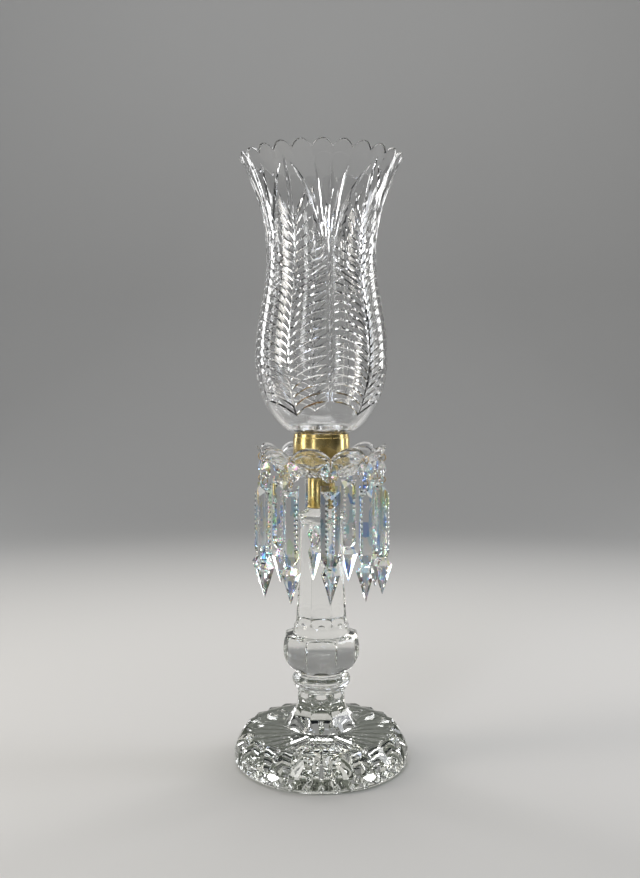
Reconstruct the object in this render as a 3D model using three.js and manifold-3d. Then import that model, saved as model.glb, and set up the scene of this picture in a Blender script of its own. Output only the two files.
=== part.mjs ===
// A cut-glass candlestick with a hurricane shade and ten hanging drops, in millimetres, +Z up.
// The origin is the centre of the ground rim that the foot stands on. The front is -Y.
// Angles round the axis are in degrees, from the front towards +X.
import * as THREE from "three";
import { mergeVertices } from "three/addons/utils/BufferGeometryUtils.js";
import Module from "manifold-3d";

const wasm = await Module();
wasm.setup();

// Foot: a solid glass disc with a wedge-cut flank and a star cut underneath
const FOOT_RADIUS = 76;
const FOOT_RIM_WIDTH = 7;
const FOOT_EDGE_EASE = 2.8;
const FOOT_EDGE_HEIGHT = 4.2;
const FOOT_FLANK_HEIGHT = 11.5;
const FOOT_FLANK_BULGE = 1.4;
const FOOT_SHOULDER_RADIUS = 66.3;
const FOOT_SHOULDER_HEIGHT = 28.8;
const FOOT_CROWN_RISE = 3;
const FOOT_RECESS_DEPTH = 1.2;
const WEDGE_COUNT = 24;
const WEDGE_WIDTH = 15.4;
const WEDGE_TIP_WIDTH = 0.8;
const WEDGE_DEPTH = 5.4;
const WEDGE_TIP_HEIGHT = 4.6;
const STAR_RAY_COUNT = 32;
const STAR_RAY_WIDTH = 4.4;
const STAR_RAY_DEPTH = 2.4;
const STAR_EYE_RADIUS = 7;
const STAR_MARGIN = 1.5;

// Stem: panelled glass in one piece with the foot. The radii of panelled stretches are taken to the flats.
const STEM_PANELS = 8;
const NECK_BASE_RADIUS = 31;
const NECK_FLARE_HEIGHT = 21.2;
const NECK_RADIUS = 20.2;
const NECK_HEIGHT = 9;
const NECK_BEAD_RADIUS = 21.6;
const NECK_BEAD_HEIGHT = 3.4;
const KNOP_RADIUS = 25.6;
const KNOP_HEIGHT = 13.4;
const KNOP_SWELL_HEIGHT = 5.4;
const KNOP_BAND_HEIGHT = 1.3;
const BULB_BASE_RADIUS = 22.6;
const BULB_RADIUS = 32.7;
const BULB_SWELL_HEIGHT = 19.6;
const BULB_HEIGHT = 32.8;
const BULB_SHOULDER_RADIUS = 31.6;
const BULB_SHOULDER_DROP = 6;
const BULB_SHOULDER_RISE = 0.8;
const COLLAR_RADIUS = 24.2;
const COLLAR_HEIGHT = 8.4;
const COLUMN_FILLET_HEIGHT = 6.5;
const COLUMN_BASE_RADIUS = 21.8;
const COLUMN_TOP_RADIUS = 18.1;
const COLUMN_HEIGHT = 88.8;
const DISC_RADIUS = 21.5;
const DISC_HEIGHT = 13;
const DISC_EDGE_HEIGHT = 6.2;
const DISC_EDGE_THICKNESS = 4.4;
const PEG_RADIUS = 10.2;
const PEG_HEIGHT = 19;

// Brass post that sleeves over the glass peg, with the washers and the screw that clamp the pan to it
const POST_RADIUS = 12.1;
const POST_HEIGHT = 26.4;
const POST_BEAD = 0.7;
const SCREW_RADIUS = 2.9;
const SCREW_HEAD_RADIUS = 6;
const SCREW_HEAD_HEIGHT = 2.6;
const SCREW_GRIP = 5;
const WASHER_THICKNESS = 1;
const WASHER_MARGIN = 3;

// Glass drip pan with a lobed rim
const DROP_COUNT = 10;
const FIRST_DROP_ANGLE = 8;
const PAN_FLOOR_THICKNESS = 4;
const PAN_FLOOR_RADIUS = 27;
const PAN_RIM_THICKNESS = 2.4;
const PAN_RIM_WEB = 0.4;
const PAN_NOTCH_RADIUS = 54.4;
const PAN_NOTCH_RISE = 14.9;
const PAN_DISHING = 0.25;
const PAN_LOBE_REACH = 3.1;
const PAN_LOBE_RISE = 9;
const PAN_LOBE_FULLNESS = 2.3;
const PAN_STEPS_PER_LOBE = 4;
const PAN_WALL_STEPS = 4;

// Brass shade cup, with a ledge for the shade's neck, and the candle socket inside it
const CUP_RADIUS = 24.9;
const CUP_WALL = 1.3;
const CUP_FLOOR_THICKNESS = 2;
const CUP_HEIGHT = 31.6;
const CUP_LIP_HEIGHT = 3.2;
const CUP_LIP_SETBACK = 0.6;
const CUP_LEDGE_DEPTH = 12.8;
const CUP_LEDGE_WIDTH = 2.6;
const CUP_LEDGE_THICKNESS = 2;
const CANDLE_RADIUS = 11;
const CANDLE_GAP = 0.2;
const SOCKET_WALL = 1.2;
const SOCKET_HEIGHT = 26;
const SOCKET_FLOOR_THICKNESS = 2.4;
const SOCKET_BEAD = 0.5;
const SEAT_RING_THICKNESS = 1.2;
const BRASS_EASE = 0.7;

// Glass hurricane shade: heights are above the cup's lip
const SHADE_WALL = 4.2;
const SHADE_RIM_WALL = 3.2;
const SHADE_NECK_WALL = 3.6;
const SHADE_THROAT_HEIGHT = 5;
const SHADE_FOOT_GAP = 0.6;
const SHADE_BELLY_RADIUS = 58.4;
const SHADE_BELLY_HEIGHT = 68;
const SHADE_WAIST_RADIUS = 48.4;
const SHADE_WAIST_HEIGHT = 157.4;
const SHADE_RIM_RADIUS = 72.8;
const SHADE_HEIGHT = 243.8;
const SCALLOP_COUNT = 25;
const SCALLOP_DEPTH = 6;
const SCALLOP_STEPS = 3;
const SHADE_CURVE_STEPS = 4;
const SHADE_CROWDING = 1.6;
const SHADE_BOWL_FULLNESS = 0.6;

// The shade's cutting: fans of leaves above, ferns below, and a line down from the middle of each fan. Angles
// are from a fan's middle. The glass has a barb every 7 mm, and every fourth one is cut here.
const FERN_COUNT = 5;
const FERN_FOOT_HEIGHT = 17.2;
const FERN_HEAD_HEIGHT = 181.2;
const BARB_SPACING = 28;
const BARB_WIDTH = 2.1;
const BARB_DEPTH = 1.05;
const BARB_LOW_RISE = 12;
const BARB_HIGH_RISE = 40;
const BARB_CURL = 1.8;
const BARB_STEPS = 3;
const BARB_REACH = 0.85;
const BARB_CROWDED_REACH = 0.3;
const LINE_WIDTH = 2.3;
const LINE_DEPTH = 1.1;
const LINE_POINT = 4;
const LINE_FOOT_RISE = 13;
const LINE_HEAD_DROP = 8;
const LEAF_WIDTH = 3.3;
const LEAF_DEPTH = 1.35;
const LEAF_STEPS = 4;
const LEAF_FOOT_HEIGHT = 159.2;
const LEAF_TIP_HEIGHTS = [232.7, 226.7, 228.7];
const LEAF_ROOT_ANGLES = [0, 2.6, 5.2];
const LEAF_TIP_ANGLES = [0, 13.5, 33.2];
const LEAF_SPLAY = 1.55;
const CREST_FOOT_HEIGHT = 173.2;
const CREST_TIP_HEIGHT = 235.2;
const CUT_FINEST_SHARE = 0.06;

// Drops: a round faceted bead and a notched spear prism on two wire rings
const WIRE_RADIUS = 0.42;
const WIRE_SIDES = 4;
const WIRE_STEPS = 10;
const HOOK_RADIUS = 3.1;
const LINK_RADIUS = 2.7;
const EYE_RADIUS = 1.5;
const EYE_SIDES = 8;
const EYE_INSET = 2.3;
const BEAD_RADIUS = 8.5;
const BEAD_THICKNESS = 7.2;
const BEAD_EDGE_THICKNESS = 1.5;
const BEAD_TABLE_RADIUS = 1.2;
const BEAD_SIDES = 12;
const BEAD_DROP = 1;
const PRISM_LENGTH = 99;
const PRISM_WIDTH = 16.6;
const PRISM_FRONT_DEPTH = 6.4;
const PRISM_BACK_DEPTH = 7.2;
const PRISM_SIDE_FLAT = 1.6;
const PRISM_TONGUE_THICKNESS = 2;
const PRISM_TONGUE_HEIGHT = 4.6;
const PRISM_CHAMFER_HEIGHT = 5;
const PRISM_NOTCH_COUNT = 11;
const PRISM_NOTCH_DEPTH = 1.3;
const PRISM_NOTCH_PITCH = 4.2;
const PRISM_NOTCH_SPREAD = 3.15;
const SPEAR_LENGTH = 38.8;
const SPEAR_HEAD_LENGTH = 26.8;
const SPEAR_WIDEST_HEIGHT = 25.8;
const SPEAR_WIDTH = 17.2;
const SPEAR_NECK_WIDTH = 9.6;
const SPEAR_NECK_FLAT = 0.8;
const SPEAR_TIP_WIDTH = 0.8;

// Degrees that each bead, and then each prism, has turned on its wire, from the front drop round
const BEAD_TURNS = [12, -6, 8, -10, 4, 11, -8, 6, 9, -4];
const PRISM_TURNS = [-11, 10, -6, 9, -11, 6, -12, 8, 10, -9];

// Clearances
const JOINT_GAP = 0.2;
const RUNNING_GAP = 0.3;
const WIRE_GAP = 0.3;

const ROUND_STEPS = 32;
const SMALL_ROUND_STEPS = 20;
const { degToRad, lerp, radToDeg, smoothstep } = THREE.MathUtils;

// Heights of the seats, each from the one below it
const FOOT_CROWN_Z = FOOT_SHOULDER_HEIGHT + FOOT_CROWN_RISE;
const NECK_Z = FOOT_CROWN_Z + NECK_FLARE_HEIGHT;
const NECK_BEAD_Z = NECK_Z + NECK_HEIGHT;
const KNOP_Z = NECK_BEAD_Z + NECK_BEAD_HEIGHT;
const BULB_Z = KNOP_Z + KNOP_HEIGHT;
const COLLAR_Z = BULB_Z + BULB_HEIGHT;
const COLUMN_Z = COLLAR_Z + COLLAR_HEIGHT;
const DISC_Z = COLUMN_Z + COLUMN_HEIGHT;
const DISC_TOP_Z = DISC_Z + DISC_HEIGHT;
const POST_Z = DISC_TOP_Z + JOINT_GAP;
const POST_TOP_Z = POST_Z + POST_HEIGHT;
const POST_WASHER_Z = POST_TOP_Z + JOINT_GAP;
const PAN_Z = POST_WASHER_Z + WASHER_THICKNESS + JOINT_GAP;
const PAN_FLOOR_Z = PAN_Z + PAN_FLOOR_THICKNESS;
const CUP_WASHER_Z = PAN_FLOOR_Z + JOINT_GAP;
const CUP_Z = CUP_WASHER_Z + WASHER_THICKNESS + JOINT_GAP;
const CUP_TOP_Z = CUP_Z + CUP_HEIGHT;
const CUP_LEDGE_Z = CUP_TOP_Z - CUP_LEDGE_DEPTH;
const SOCKET_Z = CUP_Z + CUP_FLOOR_THICKNESS + JOINT_GAP;
const SCREW_HEAD_Z = SOCKET_Z + SOCKET_FLOOR_THICKNESS + JOINT_GAP;
const SEAT_RING_Z = CUP_LEDGE_Z + JOINT_GAP;
const SHADE_Z = SEAT_RING_Z + SEAT_RING_THICKNESS + JOINT_GAP;

// Radii that one piece takes from another
const SCREW_BORE_RADIUS = SCREW_RADIUS + RUNNING_GAP;
const PAN_BORE_RADIUS = SCREW_BORE_RADIUS + WASHER_MARGIN;
const CUP_SEAT_RADIUS = CUP_RADIUS - CUP_LIP_SETBACK - CUP_WALL;
const SHADE_NECK_RADIUS = CUP_SEAT_RADIUS - RUNNING_GAP;
const SOCKET_BORE_RADIUS = CANDLE_RADIUS + CANDLE_GAP;

// A drop's rings share one plane through the axis. The hook passes through the pan's eye and round its rim.
const DROP_RADIUS = PAN_NOTCH_RADIUS - PAN_RIM_WEB;
const PAN_EYE_RADIUS = DROP_RADIUS - HOOK_RADIUS;
const NOTCH_TOP_Z = PAN_FLOOR_Z + PAN_NOTCH_RISE;
const HOOK_TOP_Z = NOTCH_TOP_Z + WIRE_GAP + WIRE_RADIUS;
const BEAD_TOP_Z = NOTCH_TOP_Z - PAN_RIM_THICKNESS - WIRE_GAP - BEAD_DROP;
const BEAD_Z = BEAD_TOP_Z - BEAD_RADIUS;
const WIRE_PLAY = EYE_RADIUS * Math.cos(Math.PI / EYE_SIDES) - WIRE_RADIUS - WIRE_GAP;
const HOOK_BOTTOM_Z = BEAD_TOP_Z - EYE_INSET + WIRE_PLAY;
const LINK_TOP_Z = BEAD_Z - BEAD_RADIUS + EYE_INSET - WIRE_PLAY;
const LINK_BOTTOM_Z = LINK_TOP_Z - 2 * LINK_RADIUS;
const PRISM_TOP_Z = LINK_BOTTOM_Z - WIRE_PLAY + EYE_INSET;

const cutGlass = new THREE.MeshStandardMaterial({ color: 0xe9efee, roughness: 0.04, metalness: 0 });
const polishedBrass = new THREE.MeshStandardMaterial({ color: 0xc9a44c, roughness: 0.24, metalness: 1 });
const brassWire = new THREE.MeshStandardMaterial({ color: 0xb9a06a, roughness: 0.3, metalness: 1 });
const leather = new THREE.MeshStandardMaterial({ color: 0x6f5137, roughness: 0.9, metalness: 0 });

// A closed surface as a solid that can be cut and joined.
function solidOf(geometry) {
  const bare = geometry.clone();
  bare.deleteAttribute("normal");
  bare.deleteAttribute("uv");
  const merged = mergeVertices(bare, 1e-4);
  const vertProperties = new Float32Array(merged.attributes.position.array);
  const triVerts = new Uint32Array(merged.index.array);
  return new wasm.Manifold(new wasm.Mesh({ numProp: 3, vertProperties, triVerts }));
}

// The surface of a solid.
function surfaceOf(solid) {
  const mesh = solid.getMesh();
  const geometry = new THREE.BufferGeometry();
  geometry.setAttribute("position", new THREE.BufferAttribute(mesh.vertProperties, 3));
  geometry.setIndex(new THREE.BufferAttribute(mesh.triVerts, 1));
  return geometry;
}

// Turns a profile of [radius, height] pairs, from the axis to the axis, with a corner in front.
function turned(profile, steps, start = 0) {
  const points = profile.map(([radius, height]) => new THREE.Vector2(radius, height));
  return new THREE.LatheGeometry(points, steps, start).rotateX(Math.PI / 2);
}

// The same for a profile that closes on itself, such as a ring's or a shell's.
function turnedRing(profile, steps) {
  return turned([...profile, profile[0]], steps);
}

// A flat ring with square edges.
function flatRing(inner, outer, bottom, thickness, steps) {
  const top = bottom + thickness;
  return turnedRing([[inner, bottom], [outer, bottom], [outer, top], [inner, top]], steps);
}

// A stretch of stem with flat panels, one of them in front.
function panelled(profile) {
  const toCorner = 1 / Math.cos(Math.PI / STEM_PANELS);
  const widened = profile.map(([radius, height]) => [radius * toCorner, height]);
  return turned(widened, STEM_PANELS, Math.PI / STEM_PANELS);
}

// Points of a profile from one point to another. The rule says how far across they are at each share of the
// height, and the pacing how the steps are shared out.
function curved([startRadius, startHeight], [endRadius, endHeight], steps, rule, pacing = even) {
  const points = [];
  for (let step = 0; step <= steps; step += 1) {
    const share = pacing(step / steps);
    points.push([lerp(startRadius, endRadius, rule(share)), lerp(startHeight, endHeight, share)]);
  }
  return points;
}

const even = (share) => share;
const crowded = (share) => share ** SHADE_CROWDING;
const swelling = (share) => Math.sin((Math.PI / 2) * share);
const flaring = (share) => share ** 2;
const flattening = (share) => 1 - (1 - share) ** 2;
const easing = (share) => (1 - Math.cos(Math.PI * share)) / 2;
const bowled = (share) => (1 - (1 - share) ** 2) ** SHADE_BOWL_FULLNESS;

// Joins rings of points into a closed surface that faces outwards, whichever way the rings run.
function lofted(rings) {
  const sides = rings[0].length;
  const last = (rings.length - 1) * sides;
  const index = [];
  for (let corner = 0; corner < last; corner += 1) {
    const next = corner % sides === sides - 1 ? corner + 1 - sides : corner + 1;
    index.push(corner, next, next + sides, corner, next + sides, corner + sides);
  }
  for (let side = 1; side < sides - 1; side += 1) {
    index.push(0, side + 1, side, last, last + side, last + side + 1);
  }
  const corners = rings.flat().map((point) => new THREE.Vector3(...point));
  let volume = 0;
  for (let first = 0; first < index.length; first += 3) {
    const [a, b, c] = index.slice(first, first + 3).map((number) => corners[number]);
    volume += a.dot(b.clone().cross(c));
  }
  if (volume < 0) {
    index.reverse();
  }
  const geometry = new THREE.BufferGeometry().setFromPoints(corners);
  geometry.setIndex(index);
  return geometry;
}

// Copies of a solid that points along +X, set evenly round the axis and joined.
function ringOf(solid, count, startAngle) {
  const copies = [];
  for (let number = 0; number < count; number += 1) {
    copies.push(solid.rotate([0, 0, startAngle - 90 + (360 * number) / count]));
  }
  return wasm.Manifold.union(copies);
}

// How far an angle lies from the middle of its scallop, from 0 in the middle to 1 at the notch.
function offMiddle(x, y, count) {
  const pitch = 360 / count;
  const angle = radToDeg(Math.atan2(x, -y)) - FIRST_DROP_ANGLE;
  const place = (((angle % pitch) + pitch) % pitch) / pitch;
  return Math.abs(2 * place - 1);
}

// The foot's turned blank, with a recess underneath.
function footBlank() {
  const rimInner = FOOT_RADIUS - FOOT_RIM_WIDTH;
  const flankRadius = (FOOT_RADIUS + FOOT_SHOULDER_RADIUS) / 2 + FOOT_FLANK_BULGE;
  const flankHeight = (FOOT_FLANK_HEIGHT + FOOT_SHOULDER_HEIGHT) / 2 + FOOT_FLANK_BULGE;
  return solidOf(turned([
    [0, FOOT_RECESS_DEPTH],
    [rimInner - FOOT_RECESS_DEPTH, FOOT_RECESS_DEPTH],
    [rimInner, 0],
    ...curved([FOOT_RADIUS - FOOT_EDGE_EASE, 0], [FOOT_RADIUS, FOOT_EDGE_HEIGHT], 2, flattening),
    [FOOT_RADIUS, FOOT_FLANK_HEIGHT],
    [flankRadius, flankHeight],
    [FOOT_SHOULDER_RADIUS, FOOT_SHOULDER_HEIGHT],
    [NECK_BASE_RADIUS, FOOT_CROWN_Z],
    [0, FOOT_CROWN_Z],
  ], WEDGE_COUNT * 2));
}

// V cuts that are widest at the shoulder and come to a point above the plain band.
function wedgeCuts() {
  // The cutter's open side lies twice as far out as its keel is deep, so its width there is twice the cut's.
  const section = (radius, height, width) => [
    [radius - WEDGE_DEPTH, 0, height],
    [radius + WEDGE_DEPTH, width, height + WEDGE_DEPTH],
    [radius + WEDGE_DEPTH, -width, height + WEDGE_DEPTH],
  ];
  return ringOf(solidOf(lofted([
    section(FOOT_RADIUS + WEDGE_DEPTH, WEDGE_TIP_HEIGHT, WEDGE_TIP_WIDTH),
    section(FOOT_SHOULDER_RADIUS, FOOT_SHOULDER_HEIGHT, WEDGE_WIDTH),
  ])), WEDGE_COUNT, FIRST_DROP_ANGLE);
}

// The star underneath: narrow V cuts that run out towards the centre.
function starCuts() {
  const outer = FOOT_RADIUS - FOOT_RIM_WIDTH - FOOT_RECESS_DEPTH - STAR_MARGIN;
  const open = FOOT_RECESS_DEPTH / 2;
  const ray = (radius, width, depth) => [
    [radius, -width / 2, open],
    [radius, width / 2, open],
    [radius, 0, FOOT_RECESS_DEPTH + depth],
  ];
  const taper = STAR_EYE_RADIUS / outer;
  return ringOf(solidOf(lofted([
    ray(outer, STAR_RAY_WIDTH, STAR_RAY_DEPTH),
    ray(STAR_EYE_RADIUS, STAR_RAY_WIDTH * taper, STAR_RAY_DEPTH * taper),
  ])), STAR_RAY_COUNT, 0);
}

// The neck above the foot, panelled and flared.
function stemNeck() {
  const rooted = [NECK_BASE_RADIUS, FOOT_SHOULDER_HEIGHT];
  return panelled([
    [0, FOOT_SHOULDER_HEIGHT],
    rooted,
    ...curved([NECK_BASE_RADIUS, FOOT_CROWN_Z], [NECK_RADIUS, NECK_Z], 3, flattening),
    [NECK_RADIUS, KNOP_Z],
    [0, KNOP_Z],
  ]);
}

// The small bead and the ring knop, both round.
function stemRings() {
  const bandZ = KNOP_Z + KNOP_SWELL_HEIGHT;
  return turned([
    [0, NECK_BEAD_Z],
    [NECK_RADIUS, NECK_BEAD_Z],
    [NECK_BEAD_RADIUS, NECK_BEAD_Z + NECK_BEAD_HEIGHT / 2],
    ...curved([NECK_BEAD_RADIUS, KNOP_Z], [KNOP_RADIUS, bandZ], 2, swelling),
    ...curved([KNOP_RADIUS, bandZ + KNOP_BAND_HEIGHT], [BULB_BASE_RADIUS, BULB_Z], 2, flaring),
    [0, BULB_Z],
  ], ROUND_STEPS);
}

// The bulb, its collar and the tapered column, panelled in line with one another.
function stemColumn() {
  return panelled([
    [0, BULB_Z - KNOP_HEIGHT / 2],
    [NECK_RADIUS, BULB_Z - KNOP_HEIGHT / 2],
    ...curved([BULB_BASE_RADIUS, BULB_Z], [BULB_RADIUS, BULB_Z + BULB_SWELL_HEIGHT], 4, swelling),
    [BULB_RADIUS, COLLAR_Z - BULB_SHOULDER_DROP],
    [BULB_SHOULDER_RADIUS, COLLAR_Z - BULB_SHOULDER_RISE],
    [COLLAR_RADIUS, COLLAR_Z],
    [COLLAR_RADIUS, COLUMN_Z],
    [COLUMN_BASE_RADIUS, COLUMN_Z + COLUMN_FILLET_HEIGHT],
    [COLUMN_TOP_RADIUS, DISC_Z],
    [COLUMN_TOP_RADIUS, DISC_Z + DISC_EDGE_HEIGHT / 2],
    [0, DISC_Z + DISC_EDGE_HEIGHT / 2],
  ]);
}

// The round disc on the column and the peg that the post is set on.
function stemDisc() {
  const edgeTop = DISC_Z + DISC_EDGE_HEIGHT + DISC_EDGE_THICKNESS / 2;
  return turned([
    [0, DISC_Z],
    [COLUMN_TOP_RADIUS, DISC_Z],
    [DISC_RADIUS - BRASS_EASE, DISC_Z + DISC_EDGE_HEIGHT - DISC_EDGE_THICKNESS / 2],
    [DISC_RADIUS, DISC_Z + DISC_EDGE_HEIGHT],
    [DISC_RADIUS - BRASS_EASE, edgeTop],
    [POST_RADIUS + POST_BEAD, DISC_TOP_Z],
    [PEG_RADIUS, DISC_TOP_Z],
    [PEG_RADIUS, DISC_TOP_Z + PEG_HEIGHT],
    [0, DISC_TOP_Z + PEG_HEIGHT],
  ], ROUND_STEPS);
}

function glassStand() {
  const foot = footBlank().subtract(wedgeCuts()).subtract(starCuts());
  const stem = [stemNeck(), stemRings(), stemColumn(), stemDisc()].map(solidOf);
  return surfaceOf(wasm.Manifold.union([foot, ...stem]));
}

// The post: a sleeve for the peg below and a bored boss for the screw above.
function brassPost() {
  const bore = PEG_RADIUS + RUNNING_GAP;
  const bossZ = POST_Z + PEG_HEIGHT + RUNNING_GAP;
  return turnedRing([
    [bore, POST_Z],
    [POST_RADIUS + POST_BEAD, POST_Z],
    [POST_RADIUS + POST_BEAD, POST_Z + POST_BEAD],
    [POST_RADIUS, POST_Z + POST_BEAD * 2],
    [POST_RADIUS, POST_TOP_Z],
    [SCREW_BORE_RADIUS, POST_TOP_Z],
    [SCREW_BORE_RADIUS, bossZ],
    [bore, bossZ],
  ], SMALL_ROUND_STEPS);
}

// The pan is turned as a plain dish, and its wall is then drawn out and up between the notches.
function dripPan() {
  const dished = (share) => PAN_DISHING * share ** 2 + (1 - PAN_DISHING) * share;
  const inside = [];
  const outside = [];
  for (let step = 1; step <= PAN_WALL_STEPS; step += 1) {
    const share = step / PAN_WALL_STEPS;
    const radius = lerp(PAN_FLOOR_RADIUS, PAN_NOTCH_RADIUS, share);
    const height = PAN_FLOOR_Z + PAN_NOTCH_RISE * dished(share);
    inside.unshift([radius, height]);
    outside.push([radius, height - lerp(PAN_FLOOR_THICKNESS, PAN_RIM_THICKNESS, share)]);
  }
  const blank = turnedRing([
    [PAN_BORE_RADIUS, PAN_Z],
    [PAN_FLOOR_RADIUS, PAN_Z],
    ...outside,
    ...inside,
    [PAN_FLOOR_RADIUS, PAN_FLOOR_Z],
    [PAN_BORE_RADIUS, PAN_FLOOR_Z],
  ], DROP_COUNT * PAN_STEPS_PER_LOBE).rotateZ(degToRad(FIRST_DROP_ANGLE));
  const position = blank.attributes.position;
  for (let number = 0; number < position.count; number += 1) {
    const x = position.getX(number);
    const y = position.getY(number);
    const radius = Math.hypot(x, y);
    const share = Math.max(0, (radius - PAN_FLOOR_RADIUS) / (PAN_NOTCH_RADIUS - PAN_FLOOR_RADIUS));
    const lift = share ** 2 * (1 - offMiddle(x, y, DROP_COUNT) ** PAN_LOBE_FULLNESS);
    const stretch = 1 + (PAN_LOBE_REACH * lift) / radius;
    position.setXYZ(number, x * stretch, y * stretch, position.getZ(number) + PAN_LOBE_RISE * lift);
  }
  const drill = new THREE.CylinderGeometry(EYE_RADIUS, EYE_RADIUS, PAN_NOTCH_RISE * 2, EYE_SIDES);
  const eye = solidOf(drill.rotateX(Math.PI / 2).translate(PAN_EYE_RADIUS, 0, NOTCH_TOP_Z));
  return surfaceOf(solidOf(blank).subtract(ringOf(eye, DROP_COUNT, FIRST_DROP_ANGLE)));
}

// The cup: a plain tube with a set-back lip above, and a ledge inside for the shade.
function shadeCup() {
  const lipZ = CUP_TOP_Z - CUP_LIP_HEIGHT;
  const ledgeFootZ = CUP_LEDGE_Z - CUP_LEDGE_THICKNESS;
  return turnedRing([
    [SCREW_BORE_RADIUS, CUP_Z],
    [CUP_RADIUS - BRASS_EASE, CUP_Z],
    [CUP_RADIUS, CUP_Z + BRASS_EASE],
    [CUP_RADIUS, lipZ],
    [CUP_RADIUS - CUP_LIP_SETBACK, lipZ + CUP_LIP_SETBACK],
    [CUP_RADIUS - CUP_LIP_SETBACK, CUP_TOP_Z],
    [CUP_SEAT_RADIUS, CUP_TOP_Z],
    [CUP_SEAT_RADIUS, CUP_LEDGE_Z],
    [CUP_SEAT_RADIUS - CUP_LEDGE_WIDTH, CUP_LEDGE_Z],
    [CUP_SEAT_RADIUS - CUP_LEDGE_WIDTH, ledgeFootZ],
    [CUP_SEAT_RADIUS, ledgeFootZ - CUP_LEDGE_WIDTH],
    [CUP_SEAT_RADIUS, CUP_Z + CUP_FLOOR_THICKNESS],
    [SCREW_BORE_RADIUS, CUP_Z + CUP_FLOOR_THICKNESS],
  ], ROUND_STEPS);
}

// The candle socket: a tube with a floor and a rolled mouth.
function candleSocket() {
  const outer = SOCKET_BORE_RADIUS + SOCKET_WALL;
  const topZ = SOCKET_Z + SOCKET_HEIGHT;
  const floorZ = SOCKET_Z + SOCKET_FLOOR_THICKNESS;
  return turnedRing([
    [SCREW_BORE_RADIUS, SOCKET_Z],
    [outer, SOCKET_Z],
    [outer, topZ - SOCKET_BEAD * 2],
    [outer + SOCKET_BEAD, topZ - SOCKET_BEAD],
    [outer, topZ],
    [SOCKET_BORE_RADIUS, topZ],
    [SOCKET_BORE_RADIUS, floorZ],
    [SCREW_BORE_RADIUS, floorZ],
  ], SMALL_ROUND_STEPS);
}

// The screw that clamps the socket, the cup and the pan to the post.
function centreScrew() {
  const topZ = SCREW_HEAD_Z + SCREW_HEAD_HEIGHT;
  const endZ = POST_TOP_Z - SCREW_GRIP;
  return turned([
    [0, endZ],
    [SCREW_RADIUS - BRASS_EASE, endZ],
    [SCREW_RADIUS, endZ + BRASS_EASE],
    [SCREW_RADIUS, SCREW_HEAD_Z],
    [SCREW_HEAD_RADIUS, SCREW_HEAD_Z],
    [SCREW_HEAD_RADIUS, topZ - BRASS_EASE],
    [SCREW_HEAD_RADIUS - BRASS_EASE, topZ],
    [0, topZ],
  ], SMALL_ROUND_STEPS);
}

// The shade's outer line above its neck: a bowl, a hip and a flare, as heights above the cup's lip.
function shadeLine() {
  const foot = [SHADE_NECK_RADIUS, SHADE_FOOT_GAP];
  const belly = [SHADE_BELLY_RADIUS, SHADE_BELLY_HEIGHT];
  const waist = [SHADE_WAIST_RADIUS, SHADE_WAIST_HEIGHT];
  const rim = [SHADE_RIM_RADIUS, SHADE_HEIGHT];
  return [
    ...curved(foot, belly, SHADE_CURVE_STEPS + 2, bowled, crowded),
    ...curved(belly, waist, SHADE_CURVE_STEPS, easing).slice(1),
    ...curved(waist, rim, SHADE_CURVE_STEPS, flaring).slice(1),
  ];
}

// The same line moved inwards by the wall, which thins towards the rim. Every second point is enough inside.
function shadeInside(outer) {
  const inside = [];
  for (let number = outer.length - 2; number > 0; number -= 2) {
    const [radius, height] = outer[number];
    const [radiusBefore, heightBefore] = outer[number - 1];
    const [radiusAfter, heightAfter] = outer[number + 1];
    const along = new THREE.Vector2(radiusAfter - radiusBefore, heightAfter - heightBefore).normalize();
    const wall = lerp(SHADE_WALL, SHADE_RIM_WALL, smoothstep(height, SHADE_WAIST_HEIGHT, SHADE_HEIGHT));
    if (height + along.x * wall > SHADE_THROAT_HEIGHT) {
      inside.push([radius - along.y * wall, height + along.x * wall]);
    }
  }
  return inside;
}

// A V cut along a line on the shade's outside. Each stop has its angle, its height, and the share of the
// cut's width and depth that it has there. The open side stands out as far as the keel lies in.
function shadeCut(outer, stops, width, depth) {
  const surface = (angle, height) => {
    const above = Math.max(1, outer.findIndex((point) => point[1] >= height));
    const [radiusBelow, heightBelow] = outer[above - 1];
    const [radiusAbove, heightAbove] = outer[above];
    const radius = lerp(radiusBelow, radiusAbove, (height - heightBelow) / (heightAbove - heightBelow));
    const turn = degToRad(angle);
    return {
      place: new THREE.Vector3(radius * Math.cos(turn), radius * Math.sin(turn), height + CUP_TOP_Z),
      outward: new THREE.Vector2(heightAbove - heightBelow, radiusBelow - radiusAbove).normalize(),
      turn,
    };
  };
  const spots = stops.map(([angle, height]) => surface(angle, height));
  return solidOf(lofted(spots.map(({ place, outward, turn }, number) => {
    const share = Math.max(CUT_FINEST_SHARE, stops[number][2]);
    const out = new THREE.Vector3(outward.x * Math.cos(turn), outward.x * Math.sin(turn), outward.y);
    const before = spots[Math.max(0, number - 1)].place;
    const after = spots[Math.min(spots.length - 1, number + 1)].place;
    const across = out.clone().cross(after.clone().sub(before)).setLength(width * share);
    out.multiplyScalar(depth * share);
    const open = place.clone().add(out);
    return [place.clone().sub(out), open.clone().add(across), open.clone().sub(across)]
      .map((point) => point.toArray());
  })));
}

// An upright cut of even width that follows the shade's own points and comes to a tip at both ends.
function uprightCut(outer, angle, footHeight, headHeight) {
  const within = outer.map((point) => point[1])
    .filter((height) => height > footHeight + LINE_POINT * 2 && height < headHeight - LINE_POINT * 2);
  const full = [footHeight + LINE_POINT, ...within, headHeight - LINE_POINT];
  const stops = [[angle, footHeight, 0], ...full.map((height) => [angle, height, 1]), [angle, headHeight, 0]];
  return shadeCut(outer, stops, LINE_WIDTH, LINE_DEPTH);
}

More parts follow.
